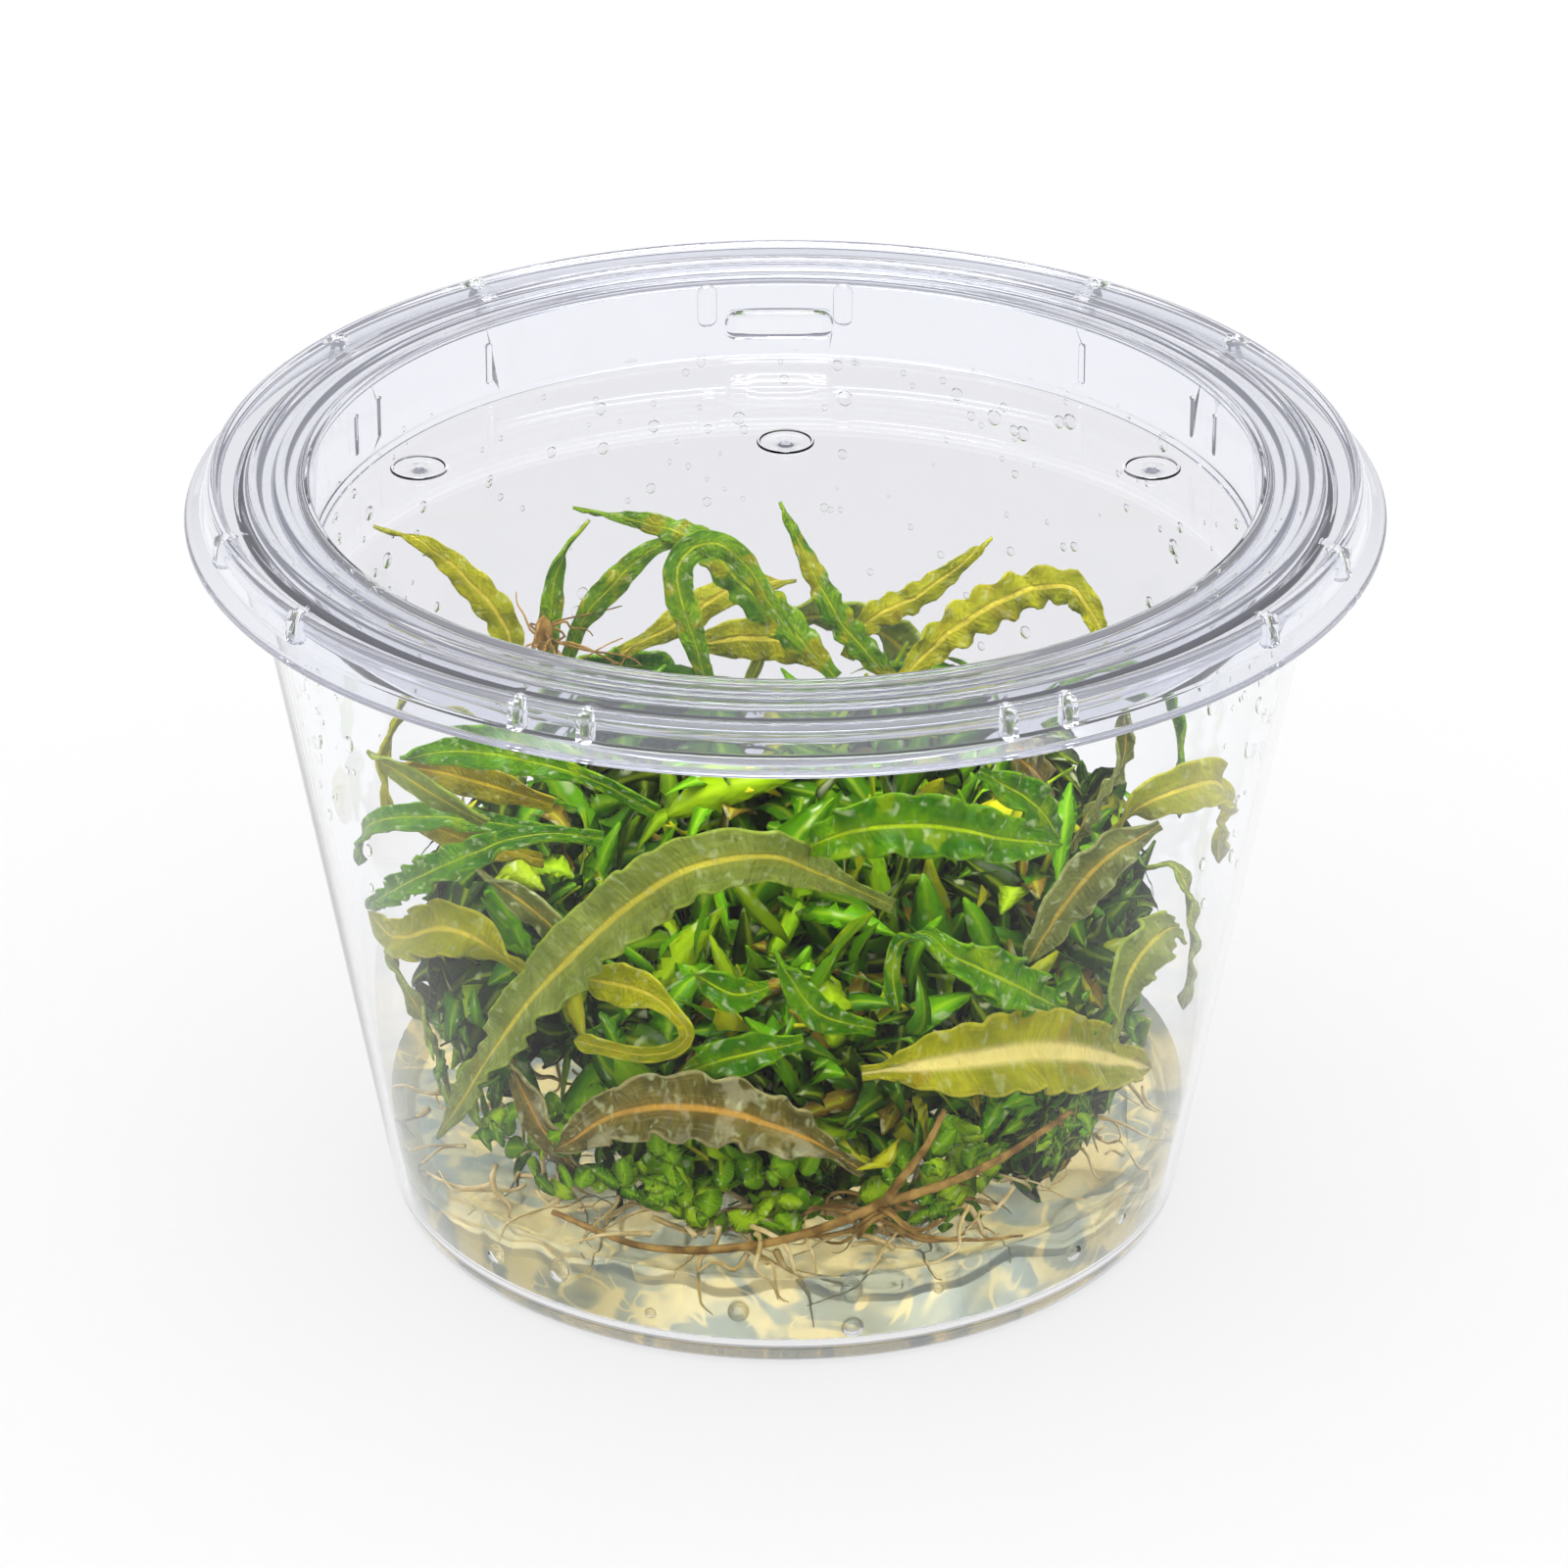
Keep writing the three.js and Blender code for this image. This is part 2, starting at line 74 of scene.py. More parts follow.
@dataclass(frozen=True)
class Signal:
    """A socket's output, with Math nodes behind the arithmetic operators."""

    tree: bpy.types.NodeTree
    socket: bpy.types.NodeSocket

    def _math(self, operation: str, first: Operand, second: Operand = 0.0) -> "Signal":
        """Adds one Math node.

        Args:
            operation: Blender's name of the operation.
            first: The first operand.
            second: The second operand.

        Returns:
            The node's output.
        """
        node = self.tree.nodes.new("ShaderNodeMath")
        node.operation = operation
        for socket, value in zip(node.inputs, (first, second)):
            if isinstance(value, Signal):
                self.tree.links.new(value.socket, socket)
            else:
                socket.default_value = value
        return Signal(self.tree, node.outputs[0])

    def __add__(self, other: Operand) -> "Signal":
        """The sum."""
        return self._math("ADD", self, other)

    def __radd__(self, other: float) -> "Signal":
        """The sum, from the right."""
        return self._math("ADD", other, self)

    def __sub__(self, other: Operand) -> "Signal":
        """The difference."""
        return self._math("SUBTRACT", self, other)

    def __rsub__(self, other: float) -> "Signal":
        """The difference, from the right."""
        return self._math("SUBTRACT", other, self)

    def __mul__(self, other: Operand) -> "Signal":
        """The product."""
        return self._math("MULTIPLY", self, other)

    def __rmul__(self, other: float) -> "Signal":
        """The product, from the right."""
        return self._math("MULTIPLY", other, self)

    def __abs__(self) -> "Signal":
        """The size without the sign."""
        return self._math("ABSOLUTE", self)


class NodeWriter:
    """Adds nodes to a tree."""

    def __init__(self, tree: bpy.types.NodeTree) -> None:
        """Empties the tree that it writes to."""
        self.tree = tree
        self.tree.nodes.clear()

    def node(
        self,
        kind: str,
        settings: dict[str, object] | None = None,
        inputs: dict[str | int, object] | None = None,
        output: str | int = 0,
    ) -> Signal:
        """Adds a node.

        Args:
            kind: Blender's type name of the node.
            settings: Properties of the node, which are set first.
            inputs: Values or signals by socket name or number.
            output: The output that is handed back.

        Returns:
            That output.
        """
        made = self.tree.nodes.new(kind)
        for key, value in (settings or {}).items():
            setattr(made, key, value)
        for key, value in (inputs or {}).items():
            if isinstance(value, Signal):
                self.tree.links.new(value.socket, made.inputs[key])
            elif isinstance(value, tuple) and made.inputs[key].type == "RGBA":
                made.inputs[key].default_value = (*value, 1.0)
            else:
                made.inputs[key].default_value = value
        return Signal(self.tree, made.outputs[output])

    def blend(self, share: Operand, first: object, second: object) -> Signal:
        """Mixes two colours.

        Args:
            share: How much of the second colour shows.
            first: A colour or a signal.
            second: A colour or a signal.

        Returns:
            The mixed colour.
        """
        settings = {"data_type": "RGBA"}
        return self.node("ShaderNodeMix", settings, {0: share, 6: first, 7: second}, 2)

    def step(self, value: Signal, low: float, high: float) -> Signal:
        """A smooth step from 0 at low to 1 at high.

        Args:
            value: What is compared.
            low: Where the step starts.
            high: Where it ends.

        Returns:
            The step.
        """
        settings = {"interpolation_type": "SMOOTHSTEP"}
        limits = {"Value": value, "From Min": low, "From Max": high}
        return self.node("ShaderNodeMapRange", settings, limits)

    def noise(
        self, place: Signal, scale: float, detail: float = 2.0, distortion: float = 0.0
    ) -> Signal:
        """Noise at a place, about 0.5 on average.

        Args:
            place: The coordinates.
            scale: How fine it is.
            detail: How many octaves it has.
            distortion: How far it is stirred.

        Returns:
            The noise.
        """
        inputs = {"Vector": place, "Scale": scale, "Detail": detail, "Distortion": distortion}
        return self.node("ShaderNodeTexNoise", {}, inputs)

    def own_place(self) -> Signal:
        """The Object coordinates."""
        return self.node("ShaderNodeTexCoord", output="Object")

    def drawn_place(self, layer: str) -> Signal:
        """The coordinates of a UV map of the piece."""
        return self.node("ShaderNodeUVMap", {"uv_map": layer})

    def parts(self, place: Signal) -> tuple[Signal, Signal]:
        """The X and Y of a vector."""
        split = self.node("ShaderNodeSeparateXYZ", {}, {0: place})
        return split, Signal(self.tree, split.socket.node.outputs[1])

    def join(self, x: Operand, y: Operand, z: Operand = 0.0) -> Signal:
        """A vector from its three values."""
        return self.node("ShaderNodeCombineXYZ", {}, {0: x, 1: y, 2: z})

    def bump(self, height: Signal, depth: float, strength: float = 1.0) -> Signal:
        """A normal tilted by a height.

        Args:
            height: The height, about 0 to 1.
            depth: What 1 stands for, in metres.
            strength: How much of it shows.

        Returns:
            The normal.
        """
        inputs = {"Height": height, "Distance": depth, "Strength": strength}
        return self.node("ShaderNodeBump", {}, inputs)

    def ends_in(self, kind: str, surface: Signal) -> None:
        """Joins the surface to an output node of that kind."""
        output = self.tree.nodes.new(kind)
        self.tree.links.new(surface.socket, output.inputs["Surface"])


class ShaderMaker(NodeWriter):
    """Builds one material's nodes."""

    def __init__(self, name: str) -> None:
        """Starts an empty material.

        Args:
            name: The material's name.
        """
        self.material = bpy.data.materials.new(name)
        self.material.use_nodes = True
        super().__init__(self.material.node_tree)

    def done(self, surface: Signal) -> bpy.types.Material:
        """Joins the surface to the output and hands back the material."""
        self.ends_in("ShaderNodeOutputMaterial", surface)
        return self.material


# Finishes

# A pale colour painted into the leaves in spots: painted highlights in place of glints.
PAINTED_GLINT = (0.78, 0.86, 0.46)
# The blue share of the painted glow that clear parts give off, and how much brighter the gel's cream
# patches glow.
PAINTED_GLOW_BLUE = 1.08
CLOUD_GLOW = 1.7
COAT_ROUGHNESS = 0.06


def scaled(colour: Colour, factor: float) -> Colour:
    """A colour times a factor."""
    return (colour[0] * factor, colour[1] * factor, colour[2] * factor)


@dataclass(frozen=True)
class ClearFinish:
    """A clear stuff: moulded plastic, gel, water or air.

    The mirror dims its reflections, and the painted glow is light that it gives off in place of the
    little light that it would scatter.
    """

    name: str
    tint: Colour
    ior: float
    roughness: float
    mirror: float
    painted_glow: float = 0.0
    ripple_depth: float = 0.0
    ripple_scale: float = 100.0
    cloud_and_caustic_tint: Colour | None = None
    clearness: float = 1.0

    def material(self) -> bpy.types.Material:
        """The material, with ripples, and with cloudy patches that are partly painted caustics, where
        it has them.

        Returns:
            The material.
        """
        maker = ShaderMaker(self.name)
        place = maker.own_place()
        inputs: dict[str | int, object] = {
            "Base Color": self.tint,
            "Roughness": self.roughness,
            "IOR": self.ior,
            "Specular Tint": (self.mirror, self.mirror, self.mirror),
            "Transmission Weight": self.clearness,
        }
        # The emission is a painted glow: the part gives off light though it is no lamp.
        glow: object = (self.painted_glow, self.painted_glow, self.painted_glow * PAINTED_GLOW_BLUE)
        if self.cloud_and_caustic_tint is not None:
            # Cream patches: partly the gel's own clouding, partly painted caustic light; they also give
            # off a brighter painted glow.
            swirls = maker.noise(place, self.ripple_scale, 1.0, distortion=1.6)
            threads = maker.noise(place, self.ripple_scale * 1.4, 1.0, distortion=0.8)
            lines = 1.0 - maker.step(abs(threads - 0.5), 0.0, 0.035)
            clouds_and_caustics = maker.step(swirls + lines * 0.12, 0.45, 0.59)
            inputs["Base Color"] = maker.blend(clouds_and_caustics, self.tint, self.cloud_and_caustic_tint)
            dim = scaled(self.tint, self.painted_glow)
            bright = scaled(self.cloud_and_caustic_tint, self.painted_glow * CLOUD_GLOW)
            glow = maker.blend(clouds_and_caustics, dim, bright)
        if self.painted_glow > 0.0:
            inputs["Emission Color"] = glow
            inputs["Emission Strength"] = 1.0
        if self.ripple_depth > 0.0:
            ripples = maker.noise(place, self.ripple_scale, 1.0)
            inputs["Normal"] = maker.bump(ripples, self.ripple_depth)
        return maker.done(maker.node("ShaderNodeBsdfPrincipled", {}, inputs))


@dataclass(frozen=True)
class LeafFinish:
    """The skin of a long leaf: base, veins, midrib, pale margin, patches and painted highlight spots.
    """

    name: str
    base: Colour
    shade: Colour
    rib: Colour
    margin: Colour
    patch: Colour
    patch_share: float = 0.3
    roughness: float = 0.32
    see_through: float = 0.3
    rib_width: float = 0.15
    gloss: float = 0.12
    sheen: float = 0.27

    def material(self) -> bpy.types.Material:
        """The material, which reads the leaf's own UV map.

        Returns:
            The material.
        """
        maker = ShaderMaker(self.name)
        across, along = maker.parts(maker.drawn_place("blade"))
        off_rib = abs(across - 0.5) * 2.0
        place = maker.own_place()
        blotches = maker.noise(place, 260.0, 3.0)
        side_veins = maker.noise(maker.join(across * 1.6, along * 15.0 - off_rib * 1.4), 2.0, 2.0)
        long_veins = maker.noise(maker.join(across * 26.0, along * 1.6), 1.0, 2.0)
        blisters = maker.noise(maker.join(across * 5.0, along * 11.0), 1.3, 1.0)
        patches = maker.noise(place, 320.0, 3.0)

        colour = maker.blend(maker.step(blotches, 0.36, 0.64), self.base, self.shade)
        colour = maker.blend(maker.step(side_veins, 0.4, 0.62) * 0.6, colour, self.shade)
        colour = maker.blend(maker.step(long_veins, 0.5, 0.72) * 0.25, colour, self.margin)
        # Patches of another colour; on the brown look their pale silvery colour is a painted highlight.
        edge = 0.68 - 0.35 * self.patch_share
        colour = maker.blend(maker.step(patches, edge, edge + 0.1) * 0.7, colour, self.patch)
        colour = maker.blend(maker.step(off_rib, 0.9, 0.98) * 0.6, colour, self.margin)
        rib = 1.0 - maker.step(off_rib, self.rib_width * 0.35, self.rib_width)
        glow = 1.0 - maker.step(off_rib, 0.1, 0.5)
        colour = maker.blend(glow * 0.14, colour, self.rib)
        colour = maker.blend(rib * (0.55 + 0.6 * blotches), colour, self.rib)

        # Pale spots painted into the base colour: painted highlights in place of glints.
        glint_spots = maker.noise(maker.join(across * 2.6, along * 7.0), 1.5, 1.0, 0.5)
        colour = maker.blend(maker.step(glint_spots, 0.56, 0.74) * self.sheen, colour, PAINTED_GLINT)

        height = side_veins * 0.7 + blisters * 1.2 - rib * 0.5
        normal = maker.bump(height, 0.34 * MM)
        rough = self.roughness + maker.noise(place, 420.0, 1.0) * 0.22 - 0.08
        skin = maker.node(
            "ShaderNodeBsdfPrincipled",
            {},
            {
                "Base Color": colour,
                "Roughness": rough,
                "Normal": normal,
                "Specular IOR Level": 0.01,
                "Coat Weight": self.gloss,
                "Coat Roughness": COAT_ROUGHNESS,
            },
        )
        glowing = maker.blend(0.12, colour, self.margin)
        through = maker.node("ShaderNodeBsdfTranslucent", {}, {"Color": glowing, "Normal": normal})
        mixed = maker.node("ShaderNodeMixShader", {}, {0: self.see_through, 1: skin, 2: through})
        return maker.done(mixed)


@dataclass(frozen=True)
class TuftFinish:
    """The skin of many small leaves, whose tone differs from leaf to leaf."""

    name: str
    tones: tuple[Colour, ...]
    rib: Colour
    roughness: float = 0.26
    sheen: float = 0.5
    gloss: float = 0.16
    see_through: float = 0.24

    def material(self) -> bpy.types.Material:
        """The material, which reads each leaf's tone and place from UV maps.

        Returns:
            The material.
        """
        maker = ShaderMaker(self.name)
        tone, _ = maker.parts(maker.drawn_place("tone"))
        across, along = maker.parts(maker.drawn_place("blade"))
        off_rib = abs(across - 0.5) * 2.0
        place = maker.own_place()
        colour: object = self.tones[0]
        for number, following in enumerate(self.tones[1:], start=1):
            middle = number / len(self.tones)
            colour = maker.blend(maker.step(tone, middle - 0.06, middle + 0.06), colour, following)
        colour = maker.blend(maker.noise(place, 500.0, 2.0) * 0.1, colour, self.rib)
        rib = 1.0 - maker.step(off_rib, 0.0, 0.3)
        colour = maker.blend(rib * 0.35, colour, self.rib)
        # Pale spots painted into the base colour: painted highlights in place of glints.
        glint_spots = maker.noise(maker.join(across * 1.4, along * 3.2 + tone * 50.0), 1.3, 1.0, 0.4)
        colour = maker.blend(maker.step(glint_spots, 0.6, 0.76) * self.sheen, colour, PAINTED_GLINT)
        height = maker.noise(maker.join(across * 3.0, along * 9.0), 1.5, 1.0)
        normal = maker.bump(height, 0.2 * MM)
        skin = maker.node(
            "ShaderNodeBsdfPrincipled",
            {},
            {
                "Base Color": colour,
                "Roughness": self.roughness,
                "Normal": normal,
                "Specular IOR Level": 0.01,
                "Coat Weight": self.gloss,
                "Coat Roughness": COAT_ROUGHNESS,
            },
        )
        through = maker.node("ShaderNodeBsdfTranslucent", {}, {"Color": colour, "Normal": normal})
        mixed = maker.node("ShaderNodeMixShader", {}, {0: self.see_through, 1: skin, 2: through})
        return maker.done(mixed)


@dataclass(frozen=True)
class RootFinish:
    """The skin of roots, runners and rootstock: two browns with a satin sheen."""

    name: str
    light: Colour
    dark: Colour
    see_through: float = 0.25

    def material(self) -> bpy.types.Material:
        """The material.

        Returns:
            The material.
        """
        maker = ShaderMaker(self.name)
        place = maker.own_place()
        streaks = maker.noise(place, 600.0, 3.0)
        colour = maker.blend(maker.step(streaks, 0.35, 0.65), self.light, self.dark)
        normal = maker.bump(streaks, 0.1 * MM)
        inputs = {
            "Base Color": colour,
            "Roughness": 0.42,
            "Normal": normal,
            "Specular IOR Level": 0.02,
            "Coat Weight": 0.1,
        }
        skin = maker.node("ShaderNodeBsdfPrincipled", {}, inputs)
        through = maker.node("ShaderNodeBsdfTranslucent", {}, {"Color": colour})
        mixed = maker.node("ShaderNodeMixShader", {}, {0: self.see_through, 1: skin, 2: through})
        return maker.done(mixed)


PLASTIC = ClearFinish(
    "clear_plastic", tint=(0.985, 0.988, 1.0), ior=1.47, roughness=0.005, mirror=0.04,
)
# The foot and the rim give off a little light of their own: a painted glow.
FOOT_PLASTIC = ClearFinish(
    "clear_foot_plastic", tint=(0.97, 0.972, 0.96), ior=1.5, roughness=0.02, mirror=0.8, painted_glow=0.06,
)
PANEL_PLASTIC = ClearFinish(
    "clear_panel_plastic", tint=(0.935, 0.932, 0.952), ior=1.5, roughness=0.012, mirror=0.06,
)
# The ring's tint, darker than the panel's of the same lid, is painted shade; the ring also gives off a
# painted glow.
RING_PLASTIC = ClearFinish(
    "clear_ring_plastic", tint=(0.815, 0.825, 0.865), ior=1.5, roughness=0.015, mirror=0.16, painted_glow=0.04,
)
# The gel gives off a painted glow, and its cream patches are partly painted caustics.
GEL = ClearFinish(
    "culture_gel", tint=(0.34, 0.41, 0.37), ior=1.34, roughness=0.05, mirror=0.2, painted_glow=0.06,
    ripple_depth=0.5 * MM, ripple_scale=115.0, cloud_and_caustic_tint=(0.94, 0.80, 0.40), clearness=0.9,
)
AIR = ClearFinish("gel_bubble", tint=(0.98, 0.98, 0.96), ior=1.34, roughness=0.0, mirror=0.8)
WATER = ClearFinish(
    "condensation_water", tint=(0.99, 0.99, 0.99), ior=1.33, roughness=0.0, mirror=0.7,
)


class LeafLook(Enum):
    """The looks that the long leaves come in."""

    OLIVE = LeafFinish(
        "leaf_olive", base=(0.35, 0.42, 0.085), shade=(0.21, 0.27, 0.035), rib=(0.82, 0.72, 0.08),
        margin=(0.48, 0.62, 0.06), patch=(0.28, 0.24, 0.03),
        patch_share=0.24, roughness=0.38, see_through=0.4,
    )
    BRIGHT = LeafFinish(
        "leaf_bright", base=(0.15, 0.38, 0.001), shade=(0.035, 0.17, 0.0), rib=(0.52, 0.72, 0.01),
        margin=(0.24, 0.50, 0.004), patch=(0.30, 0.44, 0.002),
        patch_share=0.34, roughness=0.2, see_through=0.33, rib_width=0.11, gloss=0.2, sheen=0.42,
    )
    LIME = LeafFinish(
        "leaf_lime", base=(0.22, 0.40, 0.001), shade=(0.07, 0.21, 0.0), rib=(0.50, 0.62, 0.01),
        margin=(0.30, 0.50, 0.002), patch=(0.50, 0.42, 0.004),
        patch_share=0.45, roughness=0.22, see_through=0.35, rib_width=0.11, gloss=0.18, sheen=0.4,
    )
    YELLOW = LeafFinish(
        "leaf_yellow", base=(0.54, 0.52, 0.008), shade=(0.32, 0.35, 0.002), rib=(0.92, 0.78, 0.08),
        margin=(0.72, 0.70, 0.05), patch=(0.40, 0.32, 0.008),
        roughness=0.3, see_through=0.4,
    )
    # The broad pale strip along the rib of this look is the pale midrib and, over it, a painted
    # highlight.
    CREAM = LeafFinish(
        "leaf_cream", base=(0.50, 0.48, 0.010), shade=(0.30, 0.32, 0.004), rib=(1.0, 0.86, 0.30),
        margin=(0.70, 0.66, 0.05), patch=(0.42, 0.30, 0.01),
        patch_share=0.35, roughness=0.24, see_through=0.4, rib_width=0.34, gloss=0.18,
    )
    # The pale silvery patches of this look are painted highlights.
    BROWN = LeafFinish(
        "leaf_brown", base=(0.24, 0.20, 0.035), shade=(0.10, 0.085, 0.012), rib=(0.74, 0.42, 0.07),
        margin=(0.55, 0.50, 0.20), patch=(0.44, 0.41, 0.22),
        patch_share=0.42, roughness=0.26, see_through=0.36, gloss=0.2, sheen=0.42,
    )
    GREY = LeafFinish(
        "leaf_grey", base=(0.27, 0.31, 0.070), shade=(0.14, 0.17, 0.025), rib=(0.80, 0.58, 0.08),
        margin=(0.52, 0.54, 0.20), patch=(0.26, 0.25, 0.05),
        see_through=0.36, gloss=0.14, sheen=0.45,
    )
    AMBER = LeafFinish(
        "leaf_amber", base=(0.46, 0.38, 0.002), shade=(0.24, 0.22, 0.001), rib=(0.72, 0.54, 0.02),
        margin=(0.60, 0.54, 0.02), patch=(0.26, 0.17, 0.004),
        patch_share=0.4, roughness=0.3, see_through=0.42,
    )


# The first, near-black tone is painted shade, for the leaves low down and deep in the tufts.
TUFT_SKIN = TuftFinish(
    "tuft_leaves",
    tones=(
        (0.008, 0.035, 0.000),
        (0.035, 0.170, 0.000),
        (0.120, 0.390, 0.000),
        (0.320, 0.500, 0.002),
        (0.600, 0.580, 0.010),
        (0.240, 0.150, 0.012),
    ),
    rib=(0.50, 0.66, 0.02),
)
ROUND_SKIN = TuftFinish(
    "round_leaves",
    tones=((0.070, 0.230, 0.000), (0.150, 0.360, 0.001), (0.320, 0.520, 0.004)),
    rib=(0.45, 0.66, 0.02),
    roughness=0.18,
)
RUNNER = RootFinish("runner", light=(0.46, 0.28, 0.07), dark=(0.19, 0.10, 0.02))
PALE_ROOT = RootFinish("pale_root", light=(0.80, 0.66, 0.34), dark=(0.58, 0.42, 0.14))


# Mesh helpers

def deselect() -> None:
    """Leaves nothing selected."""
    for piece in bpy.context.selected_objects:
        piece.select_set(False)


def activate(piece: bpy.types.Object) -> None:
    """Selects one object alone and makes it the active one.

    Args:
        piece: The object.
    """
    deselect()
    piece.select_set(True)
    bpy.context.view_layer.objects.active = piece


def new_piece(name: str, points: np.ndarray, faces: Sequence[Sequence[int]]) -> bpy.types.Object:
    """Makes a mesh object at the origin.

    Args:
        name: Its name.
        points: Its vertices, in metres.
        faces: Its faces, as vertex numbers.

    Returns:
        The object.
    """
    mesh = bpy.data.meshes.new(name)
    mesh.from_pydata(points.reshape(-1, 3).tolist(), [], faces)
    mesh.validate()
    piece = bpy.data.objects.new(name, mesh)
    bpy.context.scene.collection.objects.link(piece)
    mesh.shade_smooth()
    return piece


def apply_modifier(piece: bpy.types.Object, kind: str, **settings: object) -> None:
    """Adds a modifier and applies it.

    Args:
        piece: The object.
        kind: The modifier's type.
        settings: Its properties.
    """
    activate(piece)
    modifier = piece.modifiers.new(kind.lower(), kind)
    for key, value in settings.items():
        setattr(modifier, key, value)
    bpy.ops.object.modifier_apply(modifier=modifier.name)


def dress(piece: bpy.types.Object, material: bpy.types.Material, slot: str, *nodes: str) -> None:
    """Gives a piece its material and ties it to the frame.

    Args:
        piece: The object.
        material: Its material.
        slot: The record's slot; it is not used.
        nodes: The CAD nodes that it stands for.
    """
    piece.data.materials.clear()
    piece.data.materials.append(material)
    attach(piece, "root")
    if nodes:
        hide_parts(*nodes)
    log.info("%s: %d faces", piece.name, len(piece.data.polygons))


def second_stuff(
    piece: bpy.types.Object, material: bpy.types.Material, picks: Callable[[float, float], bool]
) -> None:
    """Gives some faces of a turned piece a second material.

    Args:
        piece: The object.
        material: The second material.
        picks: Tells from the radius and the height of a face's middle, in millimetres, if it gets it.
    """
    piece.data.materials.append(material)
    for face in piece.data.polygons:
        x, y, z = face.center / MM
        if picks(math.hypot(x, y), z):
            face.material_index = 1


def through_knots(knots: np.ndarray, values: np.ndarray, at: np.ndarray) -> np.ndarray:
    """A smooth curve through values at knots.

    Args:
        knots: Rising numbers.
        values: One row for each knot.
        at: Where the curve is wanted.

    Returns:
        One row for each place in at.
    """
    slopes = np.gradient(values, knots, axis=0)
    cell = np.clip(np.searchsorted(knots, at, side="right") - 1, 0, len(knots) - 2)
    width = (knots[cell + 1] - knots[cell])[:, None]
    share = ((at - knots[cell])[:, None]) / width
    square = share * share
    cube = square * share
    return (
        values[cell] * (2 * cube - 3 * square + 1)
        + slopes[cell] * width * (cube - 2 * square + share)
        + values[cell + 1] * (3 * square - 2 * cube)
        + slopes[cell + 1] * width * (cube - square)
    )


def unit(rows: np.ndarray) -> np.ndarray:
    """The rows at length 1."""
    return rows / np.maximum(np.linalg.norm(rows, axis=-1, keepdims=True), 1e-9)


def about_axis(radius: float, angle: float, height: float) -> np.ndarray:
    """The point at a radius and a height, with the angle counted from the front."""
    return np.array([radius * math.sin(angle), -radius * math.cos(angle), height])


def rounded(profile: Sequence[Point], radius: float, steps: int = 4) -> list[Point]:
    """Rounds the inner corners of a profile, and holds the straight runs beside each round.

    Args:
        profile: Its points, in millimetres.
        radius: About how far from each corner the round starts.
        steps: How many points each round gets.

    Returns:
        The points with the rounds.
    """
    points = [Vector(p) for p in profile]
    result = [tuple(points[0])]
    for before, corner, after in zip(points, points[1:], points[2:]):
        way_in, way_out = (before - corner).normalized(), (after - corner).normalized()
        reach_in = min(radius, (before - corner).length * 0.42)
        reach_out = min(radius, (after - corner).length * 0.42)
        start = corner + way_in * reach_in
        end = corner + way_out * reach_out
        result.append(tuple(start + way_in * 0.15 * reach_in))
        for i in range(steps + 1):
            share = i / steps
            first = start.lerp(corner, share)
            result.append(tuple(first.lerp(corner.lerp(end, share), share)))
        result.append(tuple(end + way_out * 0.15 * reach_out))
    result.append(tuple(points[-1]))
    return result


def spun(name: str, profile: Sequence[Point], steps: int = 192) -> bpy.types.Object:
    """Spins a profile about the upright axis.

    Args:
        name: The object's name.
        profile: Radius and height in millimetres, from the axis and back to it.
        steps: How many steps the full turn has.

    Returns:
        The closed object.
    """
    points = np.array([(radius * MM, 0.0, height * MM) for radius, height in profile])
    piece = new_piece(name, points, [])
    shape = bmesh.new()
    shape.from_mesh(piece.data)
    shape.verts.ensure_lookup_table()
    for first, second in zip(shape.verts[:-1], shape.verts[1:]):
        shape.edges.new((first, second))
    shape.to_mesh(piece.data)
    shape.free()
    activate(piece)
    bpy.ops.object.mode_set(mode="EDIT")
    bpy.ops.mesh.select_all(action="SELECT")
    bpy.ops.mesh.spin(steps=steps, angle=2 * math.pi, center=(0, 0, 0), axis=(0, 0, 1))
    bpy.ops.mesh.select_all(action="SELECT")
    bpy.ops.mesh.remove_doubles(threshold=0.002 * MM)
    bpy.ops.mesh.normals_make_consistent(inside=False)
    bpy.ops.object.mode_set(mode="OBJECT")
    piece.data.shade_smooth()
    return piece


def pill(width: float, height: float, depth: float, place: Vector, azimuth: float) -> bpy.types.Object:
    """A rounded block with softened edges on a circle about the axis.

    Args:
        width: Its size round the circle, in metres.
        height: Its upright size.
        depth: Its size along the radius.
        place: Its middle, on the circle's -Y side.
        azimuth: How far round it stands, in radians.

    Returns:
        The object, with its place in its mesh.
    """
    deselect()
    bpy.ops.mesh.primitive_cube_add(size=1.0, location=place)
    piece = bpy.context.active_object
    piece.scale = (width, depth, height)
    bpy.ops.object.transform_apply(location=True, rotation=True, scale=True)
    round_off = min(width, height) * 0.46
    bevel_edges(piece, lambda way, middle: abs(way.y) > 0.9, round_off, 6)
    bevel_edges(piece, lambda way, middle: abs(way.y) < 0.5, round_off * 0.35, 2)
    piece.data.transform(Matrix.Rotation(azimuth, 4, "Z"))
    piece.data.shade_smooth()
    return piece


